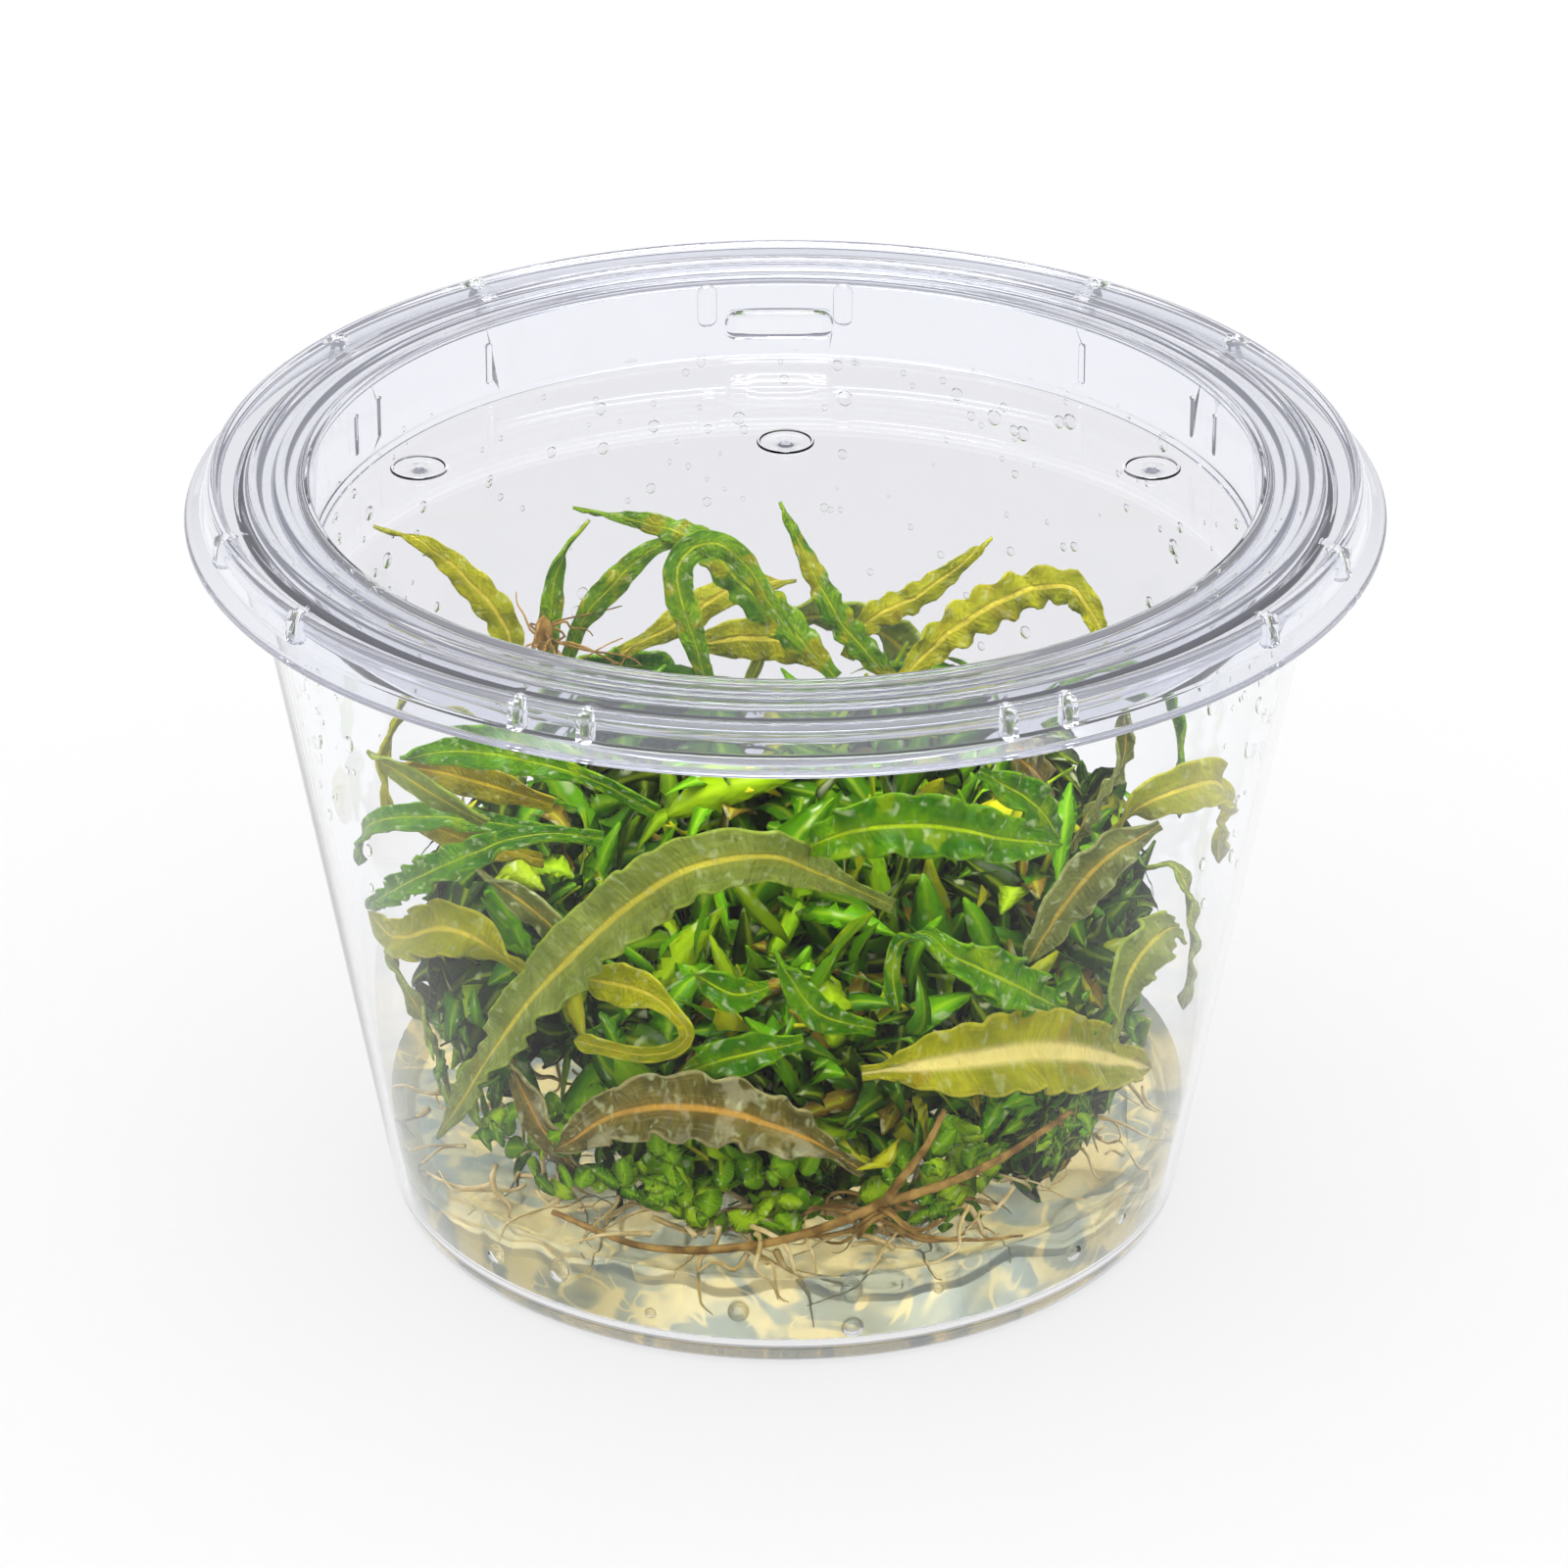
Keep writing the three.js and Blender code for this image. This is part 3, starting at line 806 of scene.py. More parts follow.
def bevel_edges(
    piece: bpy.types.Object, picks: Callable[[Vector, Vector], bool], offset: float, segments: int
) -> None:
    """Bevels the edges that a test picks by their way and their middle, where two flat faces meet.

    Args:
        piece: The object.
        picks: The test.
        offset: How wide the bevel is, in metres.
        segments: How many faces it gets.
    """
    activate(piece)
    bpy.ops.object.mode_set(mode="EDIT")
    bpy.ops.mesh.select_all(action="DESELECT")
    bpy.ops.mesh.select_mode(type="EDGE")
    bpy.ops.mesh.edges_select_sharp(sharpness=math.radians(50))
    bpy.ops.object.mode_set(mode="OBJECT")
    for edge in piece.data.edges:
        first, second = (piece.data.vertices[i].co for i in edge.vertices)
        edge.select = edge.select and picks((first - second).normalized(), (first + second) / 2)
    bpy.ops.object.mode_set(mode="EDIT")
    bpy.ops.mesh.bevel(offset=offset, segments=segments, affect="EDGES")
    bpy.ops.object.mode_set(mode="OBJECT")


def joined(name: str, pieces: Sequence[bpy.types.Object]) -> bpy.types.Object:
    """Joins objects into the first one.

    Args:
        name: The name that it gets.
        pieces: The objects.

    Returns:
        The joined object.
    """
    deselect()
    for piece in pieces:
        piece.select_set(True)
    bpy.context.view_layer.objects.active = pieces[0]
    bpy.ops.object.join()
    pieces[0].name = name
    pieces[0].data.name = name
    return pieces[0]


def set_uv(piece: bpy.types.Object, layer: str, values: np.ndarray) -> None:
    """Writes a UV map from values at the vertices.

    Args:
        piece: The object.
        layer: The map's name.
        values: Two numbers for each vertex.
    """
    mesh = piece.data
    corners = np.empty(len(mesh.loops), dtype=np.int64)
    mesh.loops.foreach_get("vertex_index", corners)
    uv = mesh.uv_layers.get(layer) or mesh.uv_layers.new(name=layer)
    uv.data.foreach_set("uv", values[corners].astype(np.float32).ravel())


# The jar's sizes, in millimetres, as the CAD model has them

@dataclass(frozen=True)
class Vessel:
    """The sizes that the cup, the gel and the plants share."""

    foot_radius: float = 35.3
    slope: float = 0.176
    wall: float = 0.9
    height: float = 68.2
    rim_bead: float = 47.7
    floor_top: float = 1.6
    recess: float = 0.6
    gel_top: float = 9.0
    lid_under: float = 61.0

    def outer(self, height: float | np.ndarray) -> float | np.ndarray:
        """Outer radius of the wall at a height."""
        return self.foot_radius + self.slope * height

    def inner(self, height: float | np.ndarray) -> float | np.ndarray:
        """Inner radius of the wall at a height."""
        return self.outer(height) - self.wall

    def keep_inside(self, points: np.ndarray, floor: float = 9.1, gap: float = 0.3) -> np.ndarray:
        """Presses points that reach the wall, the lid or the gel back inside.

        Args:
            points: Rows in metres.
            floor: The lowest height, in millimetres.
            gap: How far the points stay from the wall, in millimetres.

        Returns:
            The points.
        """
        flat = points.reshape(-1, 3).copy()
        flat[:, 2] = np.clip(flat[:, 2], floor * MM, (self.lid_under - 0.3) * MM)
        radius = np.hypot(flat[:, 0], flat[:, 1])
        most = (self.inner(flat[:, 2] / MM) - gap) * MM
        share = np.where(radius > most, most / np.maximum(radius, 1e-9), 1.0)
        flat[:, :2] *= share[:, None]
        return flat.reshape(points.shape)


VESSEL = Vessel()


@dataclass
class Cup:
    """The clear cup with its foot ring and its turned-out rim."""

    vessel: Vessel = VESSEL
    foot_band: float = 1.9

    def build(self) -> bpy.types.Object:
        """Turns the cup.

        Returns:
            The object.
        """
        v = self.vessel
        rim_under = v.height - 0.8
        profile = [
            (0.0, v.recess),
            (v.foot_radius - 4.8, v.recess),
            (v.foot_radius - 4.0, 0.0),
            (v.foot_radius - 1.1, 0.0),
            (v.foot_radius - 0.2, 0.5),
            (v.outer(1.4), 1.4),
            (v.outer(rim_under), rim_under),
            (v.rim_bead, rim_under + 0.2),
            (v.rim_bead, v.height),
            (v.inner(v.height), v.height),
            (v.inner(2.6), 2.6),
            (v.inner(v.floor_top) - 1.1, v.floor_top),
            (0.0, v.floor_top),
        ]
        cup = spun("cup_clear", rounded(profile, 0.45))
        dress(cup, PLASTIC.material(), "clear_cup", "cup")
        foot = FOOT_PLASTIC.material()
        second_stuff(cup, foot, lambda radius, height: height < self.foot_band or height > rim_under)
        return cup


@dataclass(frozen=True)
class RibRow:
    """Rounded ribs of one size that stand round the lid, in millimetres and degrees."""

    radius: float
    height: float
    width: float
    tall: float
    depth: float
    azimuths: tuple[float, ...]

    def build(self) -> list[bpy.types.Object]:
        """Makes the ribs.

        Returns:
            The objects.
        """
        place = Vector((0.0, -self.radius, self.height)) * MM
        size = (self.width * MM, self.tall * MM, self.depth * MM)
        return [pill(*size, place, math.radians(azimuth)) for azimuth in self.azimuths]


SKIRT_RIBS = RibRow(
    radius=49.35, height=67.85, width=1.4, tall=3.3, depth=2.1,
    azimuths=(-74, -55, -26, -19, 21.3, 27.5, 54, 71, 125, 145, -125, -145),
)
STACK_RIBS = RibRow(
    radius=41.0, height=65.4, width=0.8, tall=4.0, depth=0.45,
    azimuths=(60, 66, 112, 118, 139, -112, -118, -139, -66, -60),
)
LUG_POSTS = RibRow(
    radius=41.0, height=67.0, width=1.8, tall=4.2, depth=1.2, azimuths=(172.6, 190.1)
)
LUG = RibRow(radius=41.0, height=65.0, width=10.6, tall=3.0, depth=1.6, azimuths=(180.8,))


@dataclass
class Lid:
    """The clear press-on lid: sunk panel, ring crests, skirt with ribs, lug and discs."""

    radius: float = 52.0
    panel_top: float = 61.8
    panel_radius: float = 41.0
    wall: float = 0.8
    crest: float = 69.7
    crease: float = 40.0
    rib_rows: tuple[RibRow, ...] = (SKIRT_RIBS, STACK_RIBS, LUG_POSTS, LUG)
    discs: tuple[Point, ...] = ((-32.6, 16.1), (0.0, 21.7), (32.6, 16.1))

    def profile(self) -> list[Point]:
        """Draws the section from the underside's middle out to the lip and back over the top.

        Returns:
            Radius and height of each point, in millimetres.
        """
        under = self.panel_top - self.wall
        top = self.crest
        return [
            (0.0, under),
            (41.4, under),
            (41.8, under + 0.5),
            (41.9, top - 1.1),
            (49.1, top - 1.1),
            (49.5, top - 1.7),
            (49.9, 66.6),
            (self.radius - 0.7, 65.8),
            (self.radius, 65.8),
            (self.radius, 66.4),
            (50.6, 67.1),
            (50.2, top - 0.8),
            (49.8, top - 0.1),
            (49.3, top),
            (48.8, top - 0.4),
            (46.7, top - 0.4),
            (46.3, top),
            (45.6, top - 0.1),
            (45.2, top - 0.6),
            (44.4, top - 0.5),
            (44.0, top - 0.1),
            (43.3, top - 0.1),
            (42.9, top - 0.4),
            (42.2, top - 0.35),
            (41.8, top),
            (41.1, top - 0.3),
            (self.panel_radius, self.panel_top + 0.4),
            (self.panel_radius - 0.4, self.panel_top),
            (0.0, self.panel_top),
        ]

    def disc(self, x: float, y: float) -> bpy.types.Object:
        """A shallow disc with a rounded ring edge and a small dimple in its middle.

        Args:
            x: Its middle, in millimetres.
            y: Its middle, in millimetres.

        Returns:
            The object.
        """
        top = self.panel_top
        profile = [
            (0.0, top - 0.3),
            (2.6, top - 0.3),
            (2.6, top + 0.06),
            (2.5, top + 0.2),
            (2.35, top + 0.2),
            (2.25, top + 0.06),
            (0.5, top + 0.06),
            (0.35, top + 0.14),
            (0.0, top + 0.15),
        ]
        piece = spun("disc", profile, 48)
        piece.data.transform(Matrix.Translation(Vector((x, y, 0.0)) * MM))
        return piece

    def build(self) -> bpy.types.Object:
        """Turns the lid and unites it with its ribs and discs.

        Returns:
            The object.
        """
        lid = spun("lid_clear", rounded(self.profile(), 0.22))
        extras = [rib for row in self.rib_rows for rib in row.build()]
        extras += [self.disc(x, y) for x, y in self.discs]
        for extra in extras:
            apply_modifier(lid, "BOOLEAN", operation="UNION", solver="MANIFOLD", object=extra)
            bpy.data.objects.remove(extra)
        activate(lid)
        bpy.ops.object.shade_smooth_by_angle(angle=math.radians(self.crease))
        dress(lid, RING_PLASTIC.material(), "clear_lid", "lid")
        panel = PANEL_PLASTIC.material()
        edge = self.panel_radius - 0.6
        second_stuff(lid, panel, lambda radius, height: radius < edge)
        return lid


@dataclass
class GelLayer:
    """The culture gel with its raised edge, its soft ripples and its air bubbles."""

    vessel: Vessel = VESSEL
    gap: float = 0.05
    edge_rise: float = 0.5
    ripple: float = 0.16
    bubbles: tuple[tuple[float, float, float, float], ...] = (
        (5.6, -33.7, 6.9, 1.0),
        (5.7, -34.0, 3.7, 1.0),
        (-4.0, -33.9, 5.2, 0.95),
        (-19.2, -28.7, 6.0, 1.05),
        (-24.8, -24.1, 5.0, 0.9),
        (-30.2, -17.0, 7.4, 0.8),
        (24.8, -25.0, 5.6, 0.8),
        (28.8, -19.9, 6.2, 0.7),
        (13.0, -32.2, 6.4, 0.5),
        (-11.5, -32.6, 4.2, 0.55),
    )

    def build(self) -> bpy.types.Object:
        """Turns the gel and ripples its top.

        Returns:
            The object.
        """
        v = self.vessel
        bottom = v.floor_top + self.gap
        edge = v.gel_top + self.edge_rise
        rings = [(radius, v.gel_top) for radius in np.arange(33.0, 0.5, -1.5)]
        profile = [
            (0.0, bottom),
            (v.inner(bottom) - 1.15, bottom),
            (v.inner(2.7) - self.gap, 2.7),
            (v.inner(edge) - self.gap, edge),
            (v.inner(v.gel_top) - 0.9, v.gel_top + 0.08),
            *rings,
            (0.0, v.gel_top),
        ]
        gel = spun("gel_clear", profile, 144)
        for vertex in gel.data.vertices:
            x, y, z = vertex.co / MM
            if z > v.gel_top - 0.01 and math.hypot(x, y) < 34.0:
                wave = math.sin(0.55 * x + 0.9 * math.sin(0.3 * y)) * math.cos(0.47 * y + 0.5)
                vertex.co.z += self.ripple * MM * wave
        dress(gel, GEL.material(), "gel", "gel")
        return gel

    def air(self, gel: bpy.types.Object) -> None:
        """Sinks the bubbles: round hollows whose faces point into them.

        Args:
            gel: The gel, which gets them as part of its mesh.
        """
        hollows = [gel]
        air = AIR.material()
        for x, y, z, radius in self.bubbles:
            deselect()
            bpy.ops.mesh.primitive_uv_sphere_add(
                segments=24, ring_count=14, radius=radius * MM, location=(x * MM, y * MM, z * MM)
            )
            hollow = bpy.context.active_object
            bpy.ops.object.transform_apply(location=True, rotation=True, scale=True)
            hollow.data.flip_normals()
            hollow.data.shade_smooth()
            hollow.data.materials.append(air)
            hollows.append(hollow)
        joined(gel.name, hollows)


# Plants

@dataclass
class Course:
    """The run of a leaf: its middle line, the way across and up, and its half width."""

    middle: np.ndarray
    side: np.ndarray
    up: np.ndarray
    half: np.ndarray

    @classmethod
    def of_node(cls, node: str) -> "Course":
        """Reads the rings of four points between the two end points of a leaf's solid.

        Args:
            node: The CAD node.

        Returns:
            The run, from the stalk to the tip.
        """
        mesh = frame["nodes"][node].data
        raw = np.empty(len(mesh.vertices) * 3)
        mesh.vertices.foreach_get("co", raw)
        corners = np.empty(len(mesh.loops), dtype=np.int64)
        mesh.loops.foreach_get("vertex_index", corners)
        points, same = np.unique(np.round(raw.reshape(-1, 3), 6), axis=0, return_inverse=True)
        touching: list[set[int]] = [set() for _ in points]
        for triangle in same.reshape(-1)[corners].reshape(-1, 3):
            for corner in triangle:
                touching[corner].update(int(other) for other in triangle if other != corner)
        starts = [i for i, near in enumerate(touching) if len(near) == 4]
        numberings = [cls._numbering(points, start, touching) for start in starts]
        ends, diagonals = min(numberings, key=cls._total_width)
        if diagonals[0][1] < diagonals[-1][1]:
            diagonals.reverse()
            ends.reverse()
        return cls._from_rings(points, ends, diagonals)

    @staticmethod
    def _total_width(numbering: tuple[list[int], list]) -> float:
        """How wide the rings are in all, which is least where they cut straight across the leaf."""
        return sum(width for _, _, width in numbering[1])

    @classmethod
    def _numbering(
        cls, points: np.ndarray, start: int, touching: list[set[int]]
    ) -> tuple[list[int], list]:
        """Follows the rings of four that lie between a point and the opposite end.

        Args:
            points: All points.
            start: The point to start from.
            touching: Which points each one shares an edge with.

        Returns:
            The two ends, and what _diagonals gives for each ring.
        """
        seen, layer, rings = {start}, sorted(touching[start]), []
        while len(layer) == 4:
            rings.append(layer)
            seen.update(layer)
            layer = sorted(set().union(*(touching[i] for i in layer)) - seen)
        return [start, layer[0]], [cls._diagonals(points, ring) for ring in rings]

    @staticmethod
    def _diagonals(
        points: np.ndarray, ring: list[int]
    ) -> tuple[tuple[int, int, int, int], float, float]:
        """The edges and the midrib points of a ring, how thick it is and how wide.

        Args:
            points: All points.
            ring: The ring's four.

        Returns:
            The two edge points and the two midrib points, the thickness and the width.
        """
        a, b, c, d = ring
        pairs = [((a, b), (c, d)), ((a, c), (b, d)), ((a, d), (b, c))]
        pairs += [(second, first) for first, second in pairs]
        wide, thick = max(pairs, key=lambda p: np.linalg.norm(points[p[0][0]] - points[p[0][1]]))
        width, thickness = (float(np.linalg.norm(points[a] - points[b])) for a, b in (wide, thick))
        return (*wide, *thick), thickness, width

    @classmethod
    def _from_rings(cls, points: np.ndarray, ends: list[int], diagonals: list) -> "Course":
        """Turns the rings into a run whose ways across and up never jump.

        Args:
            points: All points.
            ends: The stalk's end and the tip.
            diagonals: What _diagonals gave for each ring.

        Returns:
            The run.
        """
        middle, side, up, half = [], [], [], []
        for (left, right, over, under), _, _ in diagonals:
            middle.append((points[over] + points[under]) / 2)
            across = points[right] - points[left]
            lift = points[over] - points[under]
            if up:
                lift = lift if np.dot(lift, up[-1]) > 0 else -lift
                across = across if np.dot(across, side[-1]) > 0 else -across
            else:
                outward = np.array([middle[0][0], middle[0][1], np.hypot(*middle[0][:2]) * 0.6])
                lift = lift if np.dot(lift, outward) > 0 else -lift
            side.append(across / np.linalg.norm(across))
            up.append(lift / np.linalg.norm(lift))
            half.append(np.linalg.norm(across) / 2)
        middle = np.array([points[ends[0]], *middle, points[ends[-1]]])
        side = np.array([side[0], *side, side[-1]])
        up = np.array([up[0], *up, up[-1]])
        return cls(middle, side, up, np.array([half[0], *half, 0.02 * MM]))

    def resampled(self, spacing: float) -> tuple["Course", np.ndarray]:
        """The run at even steps.

        Args:
            spacing: The distance between two steps, in metres.

        Returns:
            The run and how far along each step is, in metres.
        """
        steps = np.linalg.norm(np.diff(self.middle, axis=0), axis=1)
        knots = np.concatenate([[0.0], np.cumsum(steps)])
        count = max(12, int(knots[-1] / spacing))
        at = np.linspace(0.0, knots[-1], count)
        middle = through_knots(knots, self.middle, at)
        side = unit(through_knots(knots, self.side, at))
        along = unit(np.gradient(middle, axis=0))
        up = unit(np.cross(side, along))
        if np.mean(np.sum(up * through_knots(knots, self.up, at), axis=1)) < 0:
            up = -up
        half = np.maximum(through_knots(knots, self.half[:, None], at)[:, 0], 0.03 * MM)
        return Course(middle, side, up, half), at


@dataclass
class Leaf:
    """One long crisped leaf in place of its solid."""

    node: str
    look: LeafLook
    slot: str
    crisp: float = 0.45
    wave: float = 3.6
    teeth: float = 0.06
    fold: float = 0.22
    thickness: float = 0.32
    stalk_half: float = 1.6
    across: int = 12
    spacing: float = 0.42

    def build(self, number: int, skins: dict[LeafLook, bpy.types.Material]) -> bpy.types.Object:
        """Shapes a grid along the leaf's run and gives it its thickness.

        Args:
            number: Which leaf it is, which sets how its waves start.
            skins: The materials of the looks.

        Returns:
            The object.
        """
        course, at = Course.of_node(self.node).resampled(self.spacing * MM)
        rows = len(at)
        deselect()
        bpy.ops.mesh.primitive_grid_add(x_subdivisions=self.across, y_subdivisions=rows - 1, size=2.0)
        piece = bpy.context.active_object
        piece.name = f"{self.node}_blade"
        piece.data.name = piece.name
        grid = np.empty(len(piece.data.vertices) * 3)
        piece.data.vertices.foreach_get("co", grid)
        grid = grid.reshape(-1, 3)
        across = grid[:, 0]
        row = np.rint((grid[:, 1] + 1) / 2 * (rows - 1)).astype(int)

        length = at[-1]
        share = at[row] / length
        waves = 2 * math.pi * at[row] / (self.wave * MM)
        left = across < 0
        phase = np.where(left, 0.7 * number, 0.7 * number + 2.1)
        drift = np.sin(at[row] / (5.3 * MM) + number) * 1.3
        off_rib = np.abs(across)
        broad = np.clip(course.half[row] / (self.stalk_half * MM), 0.0, 1.0)
        blade = broad * np.sin(np.pi * np.clip(share, 0, 1)) ** 0.3
        ruffle = self.crisp * MM * blade * off_rib**1.7 * np.sin(waves + phase + drift)
        fine = 0.22 * ruffle * np.sin(2.7 * waves + 3 * phase)
        dish = self.fold * course.half[row] * (off_rib**1.3 - 0.25)
        scallop = 1 + self.teeth * blade * off_rib**2 * (np.cos(waves * 1.02 + phase + drift) - 0.5)
        points = (
            course.middle[row]
            + course.side[row] * (across * course.half[row] * scallop)[:, None]
            + course.up[row] * (ruffle + fine + dish)[:, None]
        )
        points = VESSEL.keep_inside(points)
        piece.data.vertices.foreach_set("co", points.ravel())
        drawn = np.stack([(across + 1) / 2, at[row] * 100], axis=1)
        set_uv(piece, "blade", drawn)
        for layer in [layer for layer in piece.data.uv_layers if layer.name != "blade"]:
            piece.data.uv_layers.remove(layer)
        apply_modifier(piece, "SOLIDIFY", thickness=self.thickness * MM, offset=0.0)
        piece.data.shade_smooth()
        dress(piece, skins[self.look], self.slot, self.node)
        return piece


@dataclass
class Strands:
    """Many thin round strands that are joined into one piece."""

    name: str
    sides: int = 5
    runs: list[tuple[np.ndarray, np.ndarray]] = field(default_factory=list)

    def add(self, points: np.ndarray, radii: np.ndarray) -> None:
        """Adds a strand through points, in metres, with a radius at each."""
        self.runs.append((points, radii))

    def build(self) -> bpy.types.Object:
        """Skins the strands and closes their ends.

        Returns:
            The object.
        """
        points, faces = [], []
        count = 0
        for run, radii in self.runs:
            along = unit(np.gradient(run, axis=0))
            helper = np.where(np.abs(along[:, 2:3]) > 0.8, [[1.0, 0.0, 0.0]], [[0.0, 0.0, 1.0]])
            first = unit(np.cross(along, helper))
            for i in range(1, len(first)):
                carried = first[i - 1] - along[i] * np.dot(first[i - 1], along[i])
                first[i] = carried / np.linalg.norm(carried)
            second = np.cross(along, first)
            angles = np.arange(self.sides) * 2 * math.pi / self.sides
            ring = (
                run[:, None]
                + first[:, None] * (np.cos(angles)[None, :, None] * radii[:, None, None])
                + second[:, None] * (np.sin(angles)[None, :, None] * radii[:, None, None])
            )
            points.append(ring.reshape(-1, 3))
            for row in range(len(run) - 1):
                for j in range(self.sides):
                    a = count + row * self.sides + j
                    b = count + row * self.sides + (j + 1) % self.sides
                    faces.append((a, b, b + self.sides, a + self.sides))
            last = count + (len(run) - 1) * self.sides
            faces.append(tuple(count + j for j in reversed(range(self.sides))))
            faces.append(tuple(last + j for j in range(self.sides)))
            count += len(run) * self.sides
        return new_piece(self.name, np.concatenate(points), faces)


@dataclass
class SmallLeaves:
    """Many small leaves that are joined into one piece, each a thin closed lens of four-point rings."""

    name: str
    rows: int = 9
    thickness: float = 0.11
    wall_gap: float = 4.4
    middles: list[np.ndarray] = field(default_factory=list)
    sides: list[np.ndarray] = field(default_factory=list)
    ups: list[np.ndarray] = field(default_factory=list)
    halves: list[np.ndarray] = field(default_factory=list)
    crimps: list[np.ndarray] = field(default_factory=list)
    tones: list[float] = field(default_factory=list)

    def add(
        self,
        base: np.ndarray,
        heading: np.ndarray,
        facing: np.ndarray,
        length: float,
        width: float,
        bend: float,
        tone: float,
        crimp: float = 0.0,
        roundness: float = 0.75,
    ) -> None:
        """Adds one leaf that curls from its base.

        Args:
            base: Where it starts, in metres.
            heading: The way it starts in.
            facing: About the way its upper side faces.
            length: Its length, in metres.
            width: Its width, in metres.
            bend: How far it curls away from its upper side, in radians.
            tone: Which tone it has, from 0 to 1.
            crimp: How far its margin waves, in metres.
            roundness: How blunt its outline is; lower is rounder.
        """
        heading = heading / np.linalg.norm(heading)
        side = np.cross(heading, facing)
        side = side / max(np.linalg.norm(side), 1e-9)
        up = np.cross(side, heading)
        share = np.linspace(0.0, 1.0, self.rows)
        angle = bend * share
        along = np.cos(angle)[:, None] * heading - np.sin(angle)[:, None] * up
        tilt = np.cos(angle)[:, None] * up + np.sin(angle)[:, None] * heading
        step = length / (self.rows - 1)
        middle = base + np.concatenate([[np.zeros(3)], np.cumsum(along[:-1] * step, axis=0)])
        outline = np.sin(math.pi * np.clip(share, 0.02, 0.98) ** 0.85) ** roundness
        self.middles.append(middle)
        self.sides.append(np.repeat(side[None], self.rows, axis=0))
        self.ups.append(tilt)
        self.halves.append(width / 2 * outline)
        self.crimps.append(crimp * outline * np.sin(1.15 * np.arange(self.rows) + 40.0 * tone))
        self.tones.append(tone)

    def build(self, inside: Callable[[np.ndarray], np.ndarray]) -> bpy.types.Object:
        """Joins the leaves.

        Args:
            inside: Presses points back into the space that the leaves fill.

        Returns:
            The object.
        """
        middle = np.array(self.middles)
        side = np.array(self.sides)
        up = np.array(self.ups)
        half = np.array(self.halves)[..., None]
        crimp = np.array(self.crimps)[..., None]
        thick = self.thickness * MM
        lift = 0.18 * half
        left = middle - side * half + up * (lift + crimp)
        right = middle + side * half + up * (lift - crimp)
        ring = np.stack([left, middle + up * thick, right, middle - up * thick], axis=2)
        points = VESSEL.keep_inside(inside(ring.reshape(-1, 3)), gap=self.wall_gap)
        faces = []
        per_leaf = self.rows * 4
        for leaf in range(len(middle)):
            first = leaf * per_leaf
            for row in range(self.rows - 1):
                for j in range(4):
                    a = first + row * 4 + j
                    b = first + row * 4 + (j + 1) % 4
                    faces.append((a, a + 4, b + 4, b))
            last = first + per_leaf - 4
            faces.append((first, first + 1, first + 2, first + 3))
            faces.append((last + 3, last + 2, last + 1, last))
        piece = new_piece(self.name, points, faces)
        across = np.tile([0.0, 0.5, 1.0, 0.5], len(middle) * self.rows)
        length = np.tile(np.repeat(np.linspace(0.0, 1.0, self.rows), 4), len(middle))
        set_uv(piece, "blade", np.stack([across, length], axis=1))
        tones = np.repeat(np.array(self.tones), per_leaf)
        set_uv(piece, "tone", np.stack([tones, tones], axis=1))
        return piece


@dataclass
class Grower:
    """Something that grows by chance, and always the same way from one seed."""

    rng: np.random.Generator

    def within(self, span: Span) -> float:
        """A number between two limits."""
        return self.rng.uniform(*span)

    def drift(self) -> np.ndarray:
        """A step in space."""
        return self.rng.normal(size=3)

    def way(self) -> np.ndarray:
        """A direction."""
        return unit(self.drift())


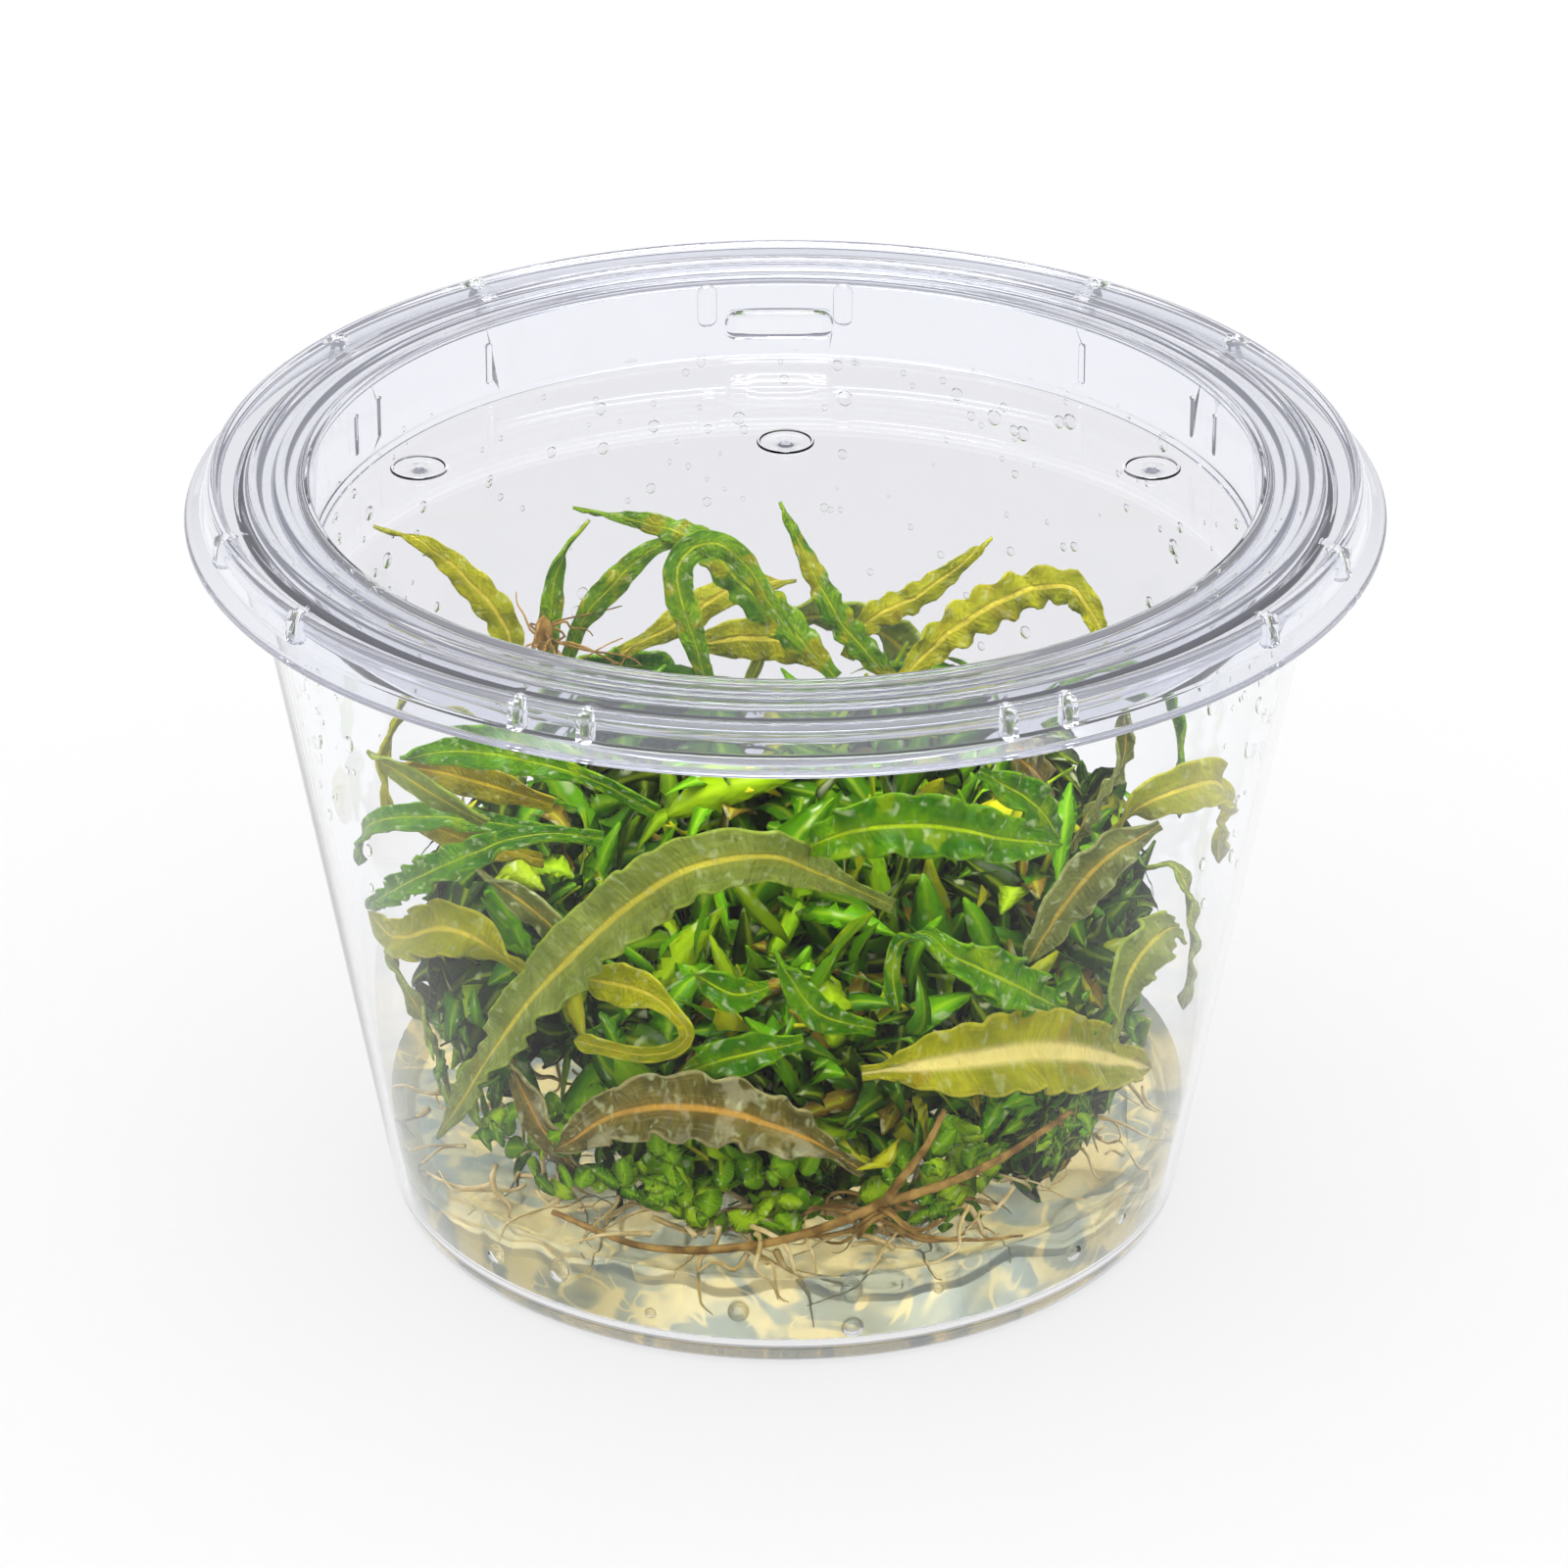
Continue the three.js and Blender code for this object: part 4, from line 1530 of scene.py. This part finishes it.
@dataclass
class Tuft(Grower):
    """A tuft of rosettes, each with arching crisped leaves, that fills the form of its solid."""

    node: str
    rosettes: int = 18
    leaves: int = 11
    scales: int = 46
    core: int = 50
    brown_share: float = 0.10
    brown_tone: float = 0.95
    shoulder: float = 3.0
    firm: float = 0.92
    leaf_length: Span = (7.0, 15.5)
    leaf_width: Span = (1.9, 3.7)
    core_length: Span = (8.0, 14.0)
    core_width: Span = (3.5, 6.0)
    scale_length: Span = (7.0, 15.0)
    scale_width: Span = (2.0, 4.2)

    def form(self) -> tuple[np.ndarray, np.ndarray]:
        """The middle and the half sizes of its solid, in metres."""
        low, high = (np.array(corner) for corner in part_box(self.node))
        return (low + high) / 2, (high - low) / 2

    def inside(self, points: np.ndarray) -> np.ndarray:
        """Draws points that stick out of the solid's form back to it.

        Args:
            points: Rows in metres.

        Returns:
            The points.
        """
        middle, reach = self.form()
        offset = (points - middle) / reach
        aside = np.hypot(offset[:, 0], offset[:, 1])
        power = self.shoulder
        distance = ((aside**power + np.abs(offset[:, 2]) ** power) ** (1 / power))[:, None]
        beyond = distance - self.firm
        softer = np.where(beyond > 0, self.firm + beyond * 0.3, distance)
        return middle + offset / np.maximum(distance, 1e-9) * softer * reach

    def fullness(self, way: np.ndarray) -> float:
        """How far the form reaches that way, where a plain ball would reach 1."""
        aside = math.hypot(way[0], way[1])
        return float((aside**self.shoulder + abs(way[2]) ** self.shoulder) ** (-1 / self.shoulder))

    def tone(self, height: float) -> float:
        """A leaf's tone: darker low down, as painted shade, and brown now and then.

        Args:
            height: Where it grows, from 0 at the foot to 1 at the top.

        Returns:
            The tone.
        """
        if self.rng.uniform() < self.brown_share:
            return self.brown_tone
        # Lower leaves get darker tones on average: painted shade.
        return float(np.clip(self.rng.normal(0.13 + 0.24 * height, 0.2), 0.0, 0.82))

    def grow(self, made: SmallLeaves) -> None:
        """Grows one rosette: leaves that rise from one foot and arch outwards, and two stalks.

        Args:
            made: Collects the leaves.
        """
        rng = self.rng
        middle, reach = self.form()
        way = self.way()
        outwards = rng.uniform(0.3, 0.72) * self.fullness(way)
        foot = middle + way * reach * outwards - 0.12 * reach[2] * UPWARD
        start = rng.uniform(0, 2 * math.pi)
        axis = unit(way * 0.9 + 0.75 * UPWARD + 0.4 * self.drift())
        first = unit(np.cross(axis, [0.3, 0.9, 0.1]))
        second = np.cross(axis, first)
        height = float(np.clip((foot[2] - middle[2]) / reach[2] * 0.5 + 0.5, 0, 1))
        size = rng.uniform(0.75, 1.25)
        for i in range(self.leaves):
            turn = start + GOLDEN_TURN * i
            around = first * math.cos(turn) + second * math.sin(turn)
            lean = rng.uniform(0.35, 1.25)
            heading = unit(around * math.sin(lean) + axis * math.cos(lean))
            facing = unit(axis * 1.2 - around * 0.6 + 0.35 * self.drift())
            made.add(
                foot + around * 0.4 * MM,
                heading,
                facing,
                self.within(self.leaf_length) * size * MM,
                self.within(self.leaf_width) * size * MM,
                rng.uniform(0.2, 1.9),
                self.tone(height),
                rng.uniform(0.05, 0.35) * MM,
            )
        for _ in range(2):
            heading = unit(axis + 0.8 * self.drift())
            made.add(
                foot - heading * 4 * MM,
                heading,
                self.way(),
                rng.uniform(10, 17) * MM,
                rng.uniform(0.5, 0.9) * MM,
                rng.uniform(-0.7, 0.7),
                float(rng.choice((0.62, 0.78, self.brown_tone))),
                roundness=0.15,
            )

    def build(self, skin: bpy.types.Material) -> bpy.types.Object:
        """Grows the rosettes, dark leaves deep inside as painted shade, and leaves that lie like scales
        on the form.

        Args:
            skin: The material.

        Returns:
            The object.
        """
        rng = self.rng
        middle, reach = self.form()
        made = SmallLeaves(f"{self.node}_leaves", rows=13)
        for _ in range(self.rosettes):
            self.grow(made)
        # Leaves deep in the tuft get the darkest tones: painted shade.
        for _ in range(self.core):
            made.add(
                middle + self.way() * reach * rng.uniform(0.1, 0.55),
                self.way(),
                self.way(),
                self.within(self.core_length) * MM,
                self.within(self.core_width) * MM,
                rng.uniform(-0.8, 1.2),
                float(rng.uniform(0.0, 0.12)),
                rng.uniform(0.2, 0.5) * MM,
            )
        for _ in range(self.scales):
            way = unit(self.drift() + 0.2 * UPWARD)
            place = middle + way * reach * rng.uniform(0.75, 0.98) * self.fullness(way)
            outward = unit(way / reach)
            heading = unit(np.cross(outward, self.drift()) + 0.4 * UPWARD)
            length = self.within(self.scale_length) * MM
            made.add(
                place - heading * length * 0.5,
                heading,
                unit(outward + 0.5 * self.drift()),
                length,
                self.within(self.scale_width) * MM,
                rng.uniform(-0.2, 1.3),
                self.tone(0.6),
                rng.uniform(0.15, 0.4) * MM,
            )
        piece = made.build(self.inside)
        dress(piece, skin, "undergrowth", self.node)
        return piece


@dataclass
class LowPlants(Grower):
    """The small round-leaved plantlets just above the gel, and the leaves between the tufts."""

    plantlets: int = 120
    sprouts: int = 380
    sprout_radius: float = 27.0

    def round_leaves(self, skin: bpy.types.Material) -> bpy.types.Object:
        """Scatters round leaves in a low band inside the wall, most of them in front.

        Args:
            skin: The material.

        Returns:
            The object.
        """
        rng = self.rng
        made = SmallLeaves("round_leaves", rows=7)
        for _ in range(self.plantlets):
            angle = rng.normal(0.0, 0.95)
            radius = rng.uniform(26.0, 33.5)
            centre = about_axis(radius, angle, rng.uniform(10.8, 19.0)) * MM
            outward = unit(centre * np.array([1.0, 1.0, 0.0]))
            for _ in range(int(rng.integers(2, 5))):
                heading = unit(self.drift() * 0.8 + 0.5 * UPWARD)
                facing = unit(outward + 0.5 * self.drift() + 0.4 * UPWARD)
                size = rng.uniform(1.9, 3.3) * MM
                made.add(
                    centre + self.drift() * 0.5 * MM,
                    heading,
                    facing,
                    size,
                    size * rng.uniform(0.75, 1.0),
                    rng.uniform(-0.4, 0.6),
                    float(rng.uniform(0.05, 0.95)),
                    roundness=0.5,
                )
        piece = made.build(lambda points: points)
        dress(piece, skin, "undergrowth")
        return piece

    def between(self, skin: bpy.types.Material) -> bpy.types.Object:
        """Stands single leaves in the gaps between the tufts, darker low down as painted shade.

        Args:
            skin: The material.

        Returns:
            The object.
        """
        rng = self.rng
        made = SmallLeaves("leaves_between", rows=9)
        for _ in range(self.sprouts):
            angle = rng.uniform(-math.pi, math.pi)
            radius = self.sprout_radius * math.sqrt(rng.uniform(0.0, 1.0))
            height = rng.uniform(9.5, 38.0 - 0.5 * radius)
            made.add(
                about_axis(radius, angle, height) * MM,
                unit(0.9 * UPWARD + 0.6 * self.drift()),
                self.way(),
                rng.uniform(8.0, 15.0) * MM,
                rng.uniform(2.0, 4.2) * MM,
                rng.uniform(-0.6, 1.5),
                # Lower leaves get darker tones on average: painted shade.
                float(np.clip(rng.normal(0.1 + 0.012 * height, 0.18), 0.0, 0.95)),
                rng.uniform(0.15, 0.45) * MM,
            )
        piece = made.build(lambda points: points)
        dress(piece, skin, "undergrowth")
        return piece


@dataclass
class Roots(Grower):
    """Runners, the rootstocks with their roots, and the fine pale roots that enter the gel."""

    fine_roots: int = 200
    brown_roots: int = 16
    high_roots: int = 14
    crown: tuple[float, float, float] = (8.6, -31.4, 14.6)

    def wandering(self, start: np.ndarray, end: np.ndarray, sway: float) -> np.ndarray:
        """A run from start to end that sways on its way.

        Args:
            start: Where it starts, in millimetres.
            end: Where it ends, in millimetres.
            sway: How far it sways, in millimetres.

        Returns:
            Its points, in metres.
        """
        share = np.linspace(0.0, 1.0, 11)[:, None]
        run = start + (end - start) * share
        for turns in (1, 2, 3):
            run = run + np.sin(math.pi * turns * share) * self.drift() * sway / turns
        return run * MM

    def fine(self) -> bpy.types.Object:
        """The fine pale roots from the tufts' feet into the gel.

        Returns:
            The object.
        """
        rng = self.rng
        made = Strands("fine_roots", sides=4)
        for _ in range(self.fine_roots):
            angle = rng.uniform(-math.pi, math.pi) if rng.uniform() < 0.5 else rng.normal(0.0, 0.8)
            radius = rng.uniform(18.0, 33.5)
            start = about_axis(radius, angle, rng.uniform(9.3, 13.0))
            reach = rng.uniform(3.0, 10.0)
            turn = rng.uniform(0, 2 * math.pi)
            end = start + np.array([math.cos(turn) * reach, math.sin(turn) * reach, 0.0])
            end[2] = rng.uniform(3.5, 8.6) if rng.uniform() < 0.55 else rng.uniform(9.3, 11.0)
            run = VESSEL.keep_inside(self.wandering(start, end, 0.7), floor=2.4)
            made.add(run, np.linspace(rng.uniform(0.13, 0.36), 0.07, len(run)) * MM)
        piece = made.build()
        dress(piece, PALE_ROOT.material(), "root")
        return piece

    def runners(self) -> bpy.types.Object:
        """The brown strands that leave the rootstock, fitted to their solids' ends.

        Returns:
            The object.
        """
        rng = self.rng
        made = Strands("brown_runners", sides=8)
        crown = np.array(self.crown)
        routes = {
            "root_right": [(10.4, -31.2, 15), (17, -29, 16.6), (24.5, -24.5, 19.5)],
            "root_left": [(7.0, -31.9, 14), (-2, -33.2, 11.4), (-12, -32, 10.4), (-20, -27.5, 11.2)],
            "stem_right": [(9.6, -31.7, 16.6), (12, -31.2, 20), (13.5, -30.3, 23)],
        }
        for route in routes.values():
            knots = np.array([crown, *route])
            steps = np.linalg.norm(np.diff(knots, axis=0), axis=1)
            lengths = np.concatenate([[0.0], np.cumsum(steps)])
            at = np.linspace(0, lengths[-1], 40)
            run = through_knots(lengths, knots, at) * MM
            swell = 1 + 0.18 * np.sin(at * 1.9) ** 8
            radii = np.linspace(0.44, 0.24, len(run)) * swell * MM
            made.add(VESSEL.keep_inside(run), radii)
        for _ in range(self.brown_roots):
            start = crown + np.array([rng.uniform(-1, 1), 0, rng.uniform(-2.5, 0)])
            turn = rng.uniform(-2.9, 2.9)
            reach = rng.uniform(4.0, 19.0)
            end = start + np.array([math.sin(turn) * reach, abs(math.cos(turn)) * reach * 0.7 - 1.5, 0])
            end[2] = rng.uniform(9.3, 12.5)
            run = VESSEL.keep_inside(self.wandering(start, end, 0.8))
            made.add(run, np.linspace(0.26, 0.1, len(run)) * MM)
        self.high_crown(made)
        piece = made.build()
        nodes = (*routes, "rootstock_front", "rootstock_left")
        dress(piece, RUNNER.material(), "root", *nodes)
        return piece

    def high_crown(self, made: Strands) -> None:
        """The short crown that three leaves under the lid grow from, with its sheaths and roots.

        Args:
            made: Collects the strands.
        """
        rng = self.rng
        low, high = (np.array(corner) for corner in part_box("rootstock_left"))
        middle, reach = (low + high) / 2, (high - low) / 2
        share = np.linspace(-1.0, 1.0, 9)
        stock = middle + np.outer(share, 0.98 * reach[2] * UPWARD)
        made.add(stock, 0.75 * reach[0] * np.sqrt(1.04 - share**2))
        for _ in range(self.high_roots):
            turn = rng.uniform(0, 2 * math.pi)
            start = middle / MM + rng.uniform(-1.5, 1.0) * UPWARD
            reach_out = rng.uniform(3.0, 9.0)
            end = start + np.array([math.cos(turn), math.sin(turn), 0.0]) * reach_out
            end[2] += rng.uniform(-4.5, 2.5)
            run = VESSEL.keep_inside(self.wandering(start, end, 0.9))
            made.add(run, np.linspace(0.14, 0.06, len(run)) * MM)


@dataclass
class Condensation(Grower):
    """Drops of water on the inside of the wall, above the plants."""

    drops: int = 260
    highest: float = 60.5
    lowest: float = 30.0
    largest: float = 0.75
    flatness: float = 0.30

    def build(self) -> bpy.types.Object:
        """Presses small flattened drops against the wall.

        Returns:
            The object.
        """
        rng = self.rng
        deselect()
        bpy.ops.mesh.primitive_ico_sphere_add(subdivisions=2, radius=1.0)
        pattern = bpy.context.active_object
        shape = np.array([vertex.co[:] for vertex in pattern.data.vertices])
        faces = [tuple(face.vertices) for face in pattern.data.polygons]
        bpy.data.objects.remove(pattern)
        points, all_faces = [], []
        for _ in range(self.drops):
            angle = rng.uniform(math.radians(55), math.pi) * rng.choice((-1.0, 1.0))
            height = self.highest - abs(rng.normal(0.0, 12.0))
            if height < self.lowest:
                continue
            size = min(abs(rng.normal(0.0, 0.28)) + 0.14, self.largest)
            radius = VESSEL.inner(height) - 0.05
            outward = about_axis(1.0, angle, 0.0)
            around = np.array([math.cos(angle), math.sin(angle), 0.0])
            drop = (
                outward * (radius - self.flatness * size) + height * UPWARD
                + shape[:, :1] * around * size
                + shape[:, 1:2] * outward * size * self.flatness
                + shape[:, 2:] * UPWARD * size * 1.12
            )
            first = len(points) * len(shape)
            points.append(drop * MM)
            all_faces += [tuple(first + i for i in face) for face in faces]
        piece = new_piece("condensation_drops", np.concatenate(points), all_faces)
        dress(piece, WATER.material(), "clear_cup")
        return piece


# Studio

@dataclass
class Studio:
    """Pale floor, soft light and the camera at the photograph's angle.

    The pitch is in degrees, the lengths in metres, the focal length and the frame in pixels.
    """

    pitch: float = 27.36
    distance: float = 0.6225
    focal: float = 7178.0
    aim_height: float = 0.0385
    aside: float = -0.00013
    frame_width: float = 1600.0
    side_light: float = 2.3
    top_light: float = 7.2
    glint: float = 30.0
    floor_tone: float = 0.046
    floor_glow: float = 0.75
    horizon: Colour = (0.22, 0.225, 0.26)
    vault: Colour = (0.20, 0.205, 0.225)

    def floor(self) -> None:
        """Lays the floor, which glows a little so that the cup's shadow stays soft."""
        deselect()
        bpy.ops.mesh.primitive_plane_add(size=6.0)
        plane = bpy.context.active_object
        plane.name = "floor"
        maker = ShaderMaker("pale_floor")
        grain = maker.noise(maker.own_place(), 40.0, 2.0)
        tone = self.floor_tone
        colour = maker.blend(grain, (tone, tone, tone), (tone * 1.01, tone * 1.01, tone * 1.01))
        inputs = {
            "Base Color": colour,
            "Roughness": 1.0,
            "Specular IOR Level": 0.0,
            "Emission Color": (1.0, 1.0, 1.0),
            "Emission Strength": self.floor_glow,
        }
        plane.data.materials.append(maker.done(maker.node("ShaderNodeBsdfPrincipled", {}, inputs)))

    def lamp(self, name: str, place: Vector, size: float, power: float) -> None:
        """Hangs a square soft light that faces the cup.

        Args:
            name: Its name.
            place: Where it hangs, in metres.
            size: The length of its sides, in metres.
            power: Its power, in watts.
        """
        data = bpy.data.lights.new(name, "AREA")
        data.shape = "SQUARE"
        data.size = size
        data.energy = power
        lamp = bpy.data.objects.new(name, data)
        bpy.context.scene.collection.objects.link(lamp)
        lamp.location = place
        aim = Vector((0.0, 0.0, 0.04)) - place
        lamp.rotation_euler = aim.to_track_quat("-Z", "Y").to_euler()

    def sky(self) -> None:
        """Sets the surrounding: a soft light from above, and what the plastic and the leaves mirror."""
        world = bpy.data.worlds.new("surrounding")
        bpy.context.scene.world = world
        world.use_nodes = True
        world.cycles.sampling_method = "NONE"
        writer = NodeWriter(world.node_tree)
        place = writer.node("ShaderNodeTexCoord", output="Generated")
        height = writer.node("ShaderNodeSeparateXYZ", {}, {0: place}, "Z")
        lifted = writer.step(height, 0.3, 0.9)
        light = self.side_light + (self.top_light - self.side_light) * lifted
        even = writer.node("ShaderNodeBackground", {}, {"Color": (1.0, 1.0, 1.0), "Strength": light})
        tone = writer.blend(writer.step(height, 0.35, 0.7), self.horizon, self.vault)
        glow = 1.0 + self.glint / self.vault[0] * writer.step(height, 0.87, 0.95)
        mirrored = writer.node("ShaderNodeBackground", {}, {"Color": tone, "Strength": glow})
        after = writer.node("ShaderNodeLightPath", output="Diffuse Depth")
        settings = {"operation": "GREATER_THAN"}
        lights_something = writer.node("ShaderNodeMath", settings, {0: after, 1: 0.5})
        choice = writer.node("ShaderNodeMixShader", {}, {0: lights_something, 1: mirrored, 2: even})
        writer.ends_in("ShaderNodeOutputWorld", choice)

    def camera(self) -> None:
        """Sets up the camera at the photograph's height and distance."""
        data = bpy.data.cameras.new("camera")
        data.sensor_width = 36.0
        data.lens = self.focal / self.frame_width * data.sensor_width
        data.clip_start = 0.01
        camera = bpy.data.objects.new("camera", data)
        bpy.context.scene.collection.objects.link(camera)
        pitch = math.radians(self.pitch)
        camera.location = (
            self.aside,
            -self.distance * math.cos(pitch),
            self.aim_height + self.distance * math.sin(pitch),
        )
        camera.rotation_euler = (math.pi / 2 - pitch, 0.0, 0.0)
        bpy.context.scene.camera = camera

    def build(self) -> None:
        """Sets the whole studio."""
        self.floor()
        self.sky()
        self.lamp("key", Vector((-0.45, -0.30, 0.95)), size=0.35, power=2.0)
        self.lamp("fill", Vector((0.65, -0.25, 0.75)), size=0.30, power=1.2)
        self.camera()
        scene = bpy.context.scene
        scene.view_settings.view_transform = "Standard"
        scene.view_settings.look = "None"
        scene.cycles.max_bounces = 16
        scene.cycles.transmission_bounces = 14
        scene.cycles.glossy_bounces = 6
        scene.cycles.diffuse_bounces = 3
        scene.cycles.caustics_refractive = True
        scene.cycles.caustics_reflective = False
        scene.cycles.sample_clamp_indirect = 5.0
        scene.cycles.use_light_tree = False


# The long leaves, with their looks and their margins

LEAF_LOOKS: dict[str, LeafLook] = {
    "long_olive": LeafLook.OLIVE,
    "green_upper": LeafLook.BRIGHT,
    "green_lower": LeafLook.BRIGHT,
    "small_middle": LeafLook.BRIGHT,
    "pale_yellow": LeafLook.CREAM,
    "brown_crisp": LeafLook.BROWN,
    "grey_right": LeafLook.GREY,
    "yellow_right": LeafLook.YELLOW,
    "brown_upright": LeafLook.GREY,
    "brown_short": LeafLook.BROWN,
    "green_short": LeafLook.BRIGHT,
    "broad_right": LeafLook.OLIVE,
    "low_right": LeafLook.OLIVE,
    "crisp_left": LeafLook.BRIGHT,
    "pale_left": LeafLook.YELLOW,
    "point_left": LeafLook.OLIVE,
    "amber_left": LeafLook.AMBER,
    "green_left": LeafLook.BRIGHT,
    "droop_left": LeafLook.BRIGHT,
    "tan_left": LeafLook.AMBER,
    "mauve_left": LeafLook.GREY,
    "low_left": LeafLook.BROWN,
    "strand_left": LeafLook.OLIVE,
    "hook": LeafLook.YELLOW,
    "glossy_middle": LeafLook.BRIGHT,
    "glossy_low": LeafLook.BRIGHT,
    "top_far_left": LeafLook.YELLOW,
    "top_narrow": LeafLook.LIME,
    "top_left_arch": LeafLook.LIME,
    "top_long_arch": LeafLook.LIME,
    "top_hairpin": LeafLook.LIME,
    "top_middle": LeafLook.LIME,
    "top_right": LeafLook.YELLOW,
    "top_right_arch": LeafLook.YELLOW,
    "top_back": LeafLook.YELLOW,
    "top_back_low": LeafLook.YELLOW,
    "back_long": LeafLook.OLIVE,
    "back_green": LeafLook.BRIGHT,
    "back_left_droop": LeafLook.YELLOW,
    "back_right_droop": LeafLook.BRIGHT,
    "back_low_left": LeafLook.BROWN,
    "back_low_right": LeafLook.OLIVE,
}

MARGINS: dict[str, dict[str, float]] = {
    "brown_crisp": {"crisp": 0.9, "teeth": 0.12},
    "green_upper": {"crisp": 0.8},
    "green_lower": {"crisp": 0.75},
    "crisp_left": {"crisp": 0.7},
    "long_olive": {"crisp": 0.35},
    "low_right": {"crisp": 0.0, "teeth": 0.0},
    "top_far_left": {"crisp": 0.4, "wave": 2.6, "teeth": 0.12},
    "top_long_arch": {"crisp": 0.5, "wave": 2.4, "teeth": 0.14},
    "top_middle": {"crisp": 0.55, "wave": 2.1, "teeth": 0.22},
    "top_right": {"crisp": 0.5, "wave": 2.1, "teeth": 0.2},
    "top_right_arch": {"crisp": 0.8, "wave": 2.5, "teeth": 0.2},
    "back_right_droop": {"crisp": 0.1},
    "back_left_droop": {"crisp": 0.1},
}


def slots_of_nodes() -> dict[str, str]:
    """The record's material slot of each CAD node."""
    return {part["node"]: part["material_slot"] for part in frame["record"]["subparts"]}


def grow_plants() -> None:
    """Grows all leaves, tufts and roots."""
    rng = np.random.default_rng(SEED)
    slots = slots_of_nodes()
    skins = {look: look.value.material() for look in LeafLook}
    for number, (name, look) in enumerate(LEAF_LOOKS.items()):
        node = f"leaf_{name}"
        Leaf(node, look, slots[node], **MARGINS.get(name, {})).build(number, skins)
    tuft_skin = TUFT_SKIN.material()
    for node in sorted(n for n in frame["nodes"] if n.startswith("undergrowth_")):
        Tuft(rng, node).build(tuft_skin)
    low = LowPlants(rng)
    low.round_leaves(ROUND_SKIN.material())
    low.between(tuft_skin)
    roots = Roots(rng)
    roots.runners()
    roots.fine()


def main() -> None:
    """Builds everything in order and writes down how large it came out."""
    logging.basicConfig(level=logging.INFO, format="%(message)s")
    Studio().build()
    Cup().build()
    Lid().build()
    layer = GelLayer()
    layer.air(layer.build())
    Condensation(np.random.default_rng(SEED + 1)).build()
    grow_plants()


if __name__ == "__main__":
    main()
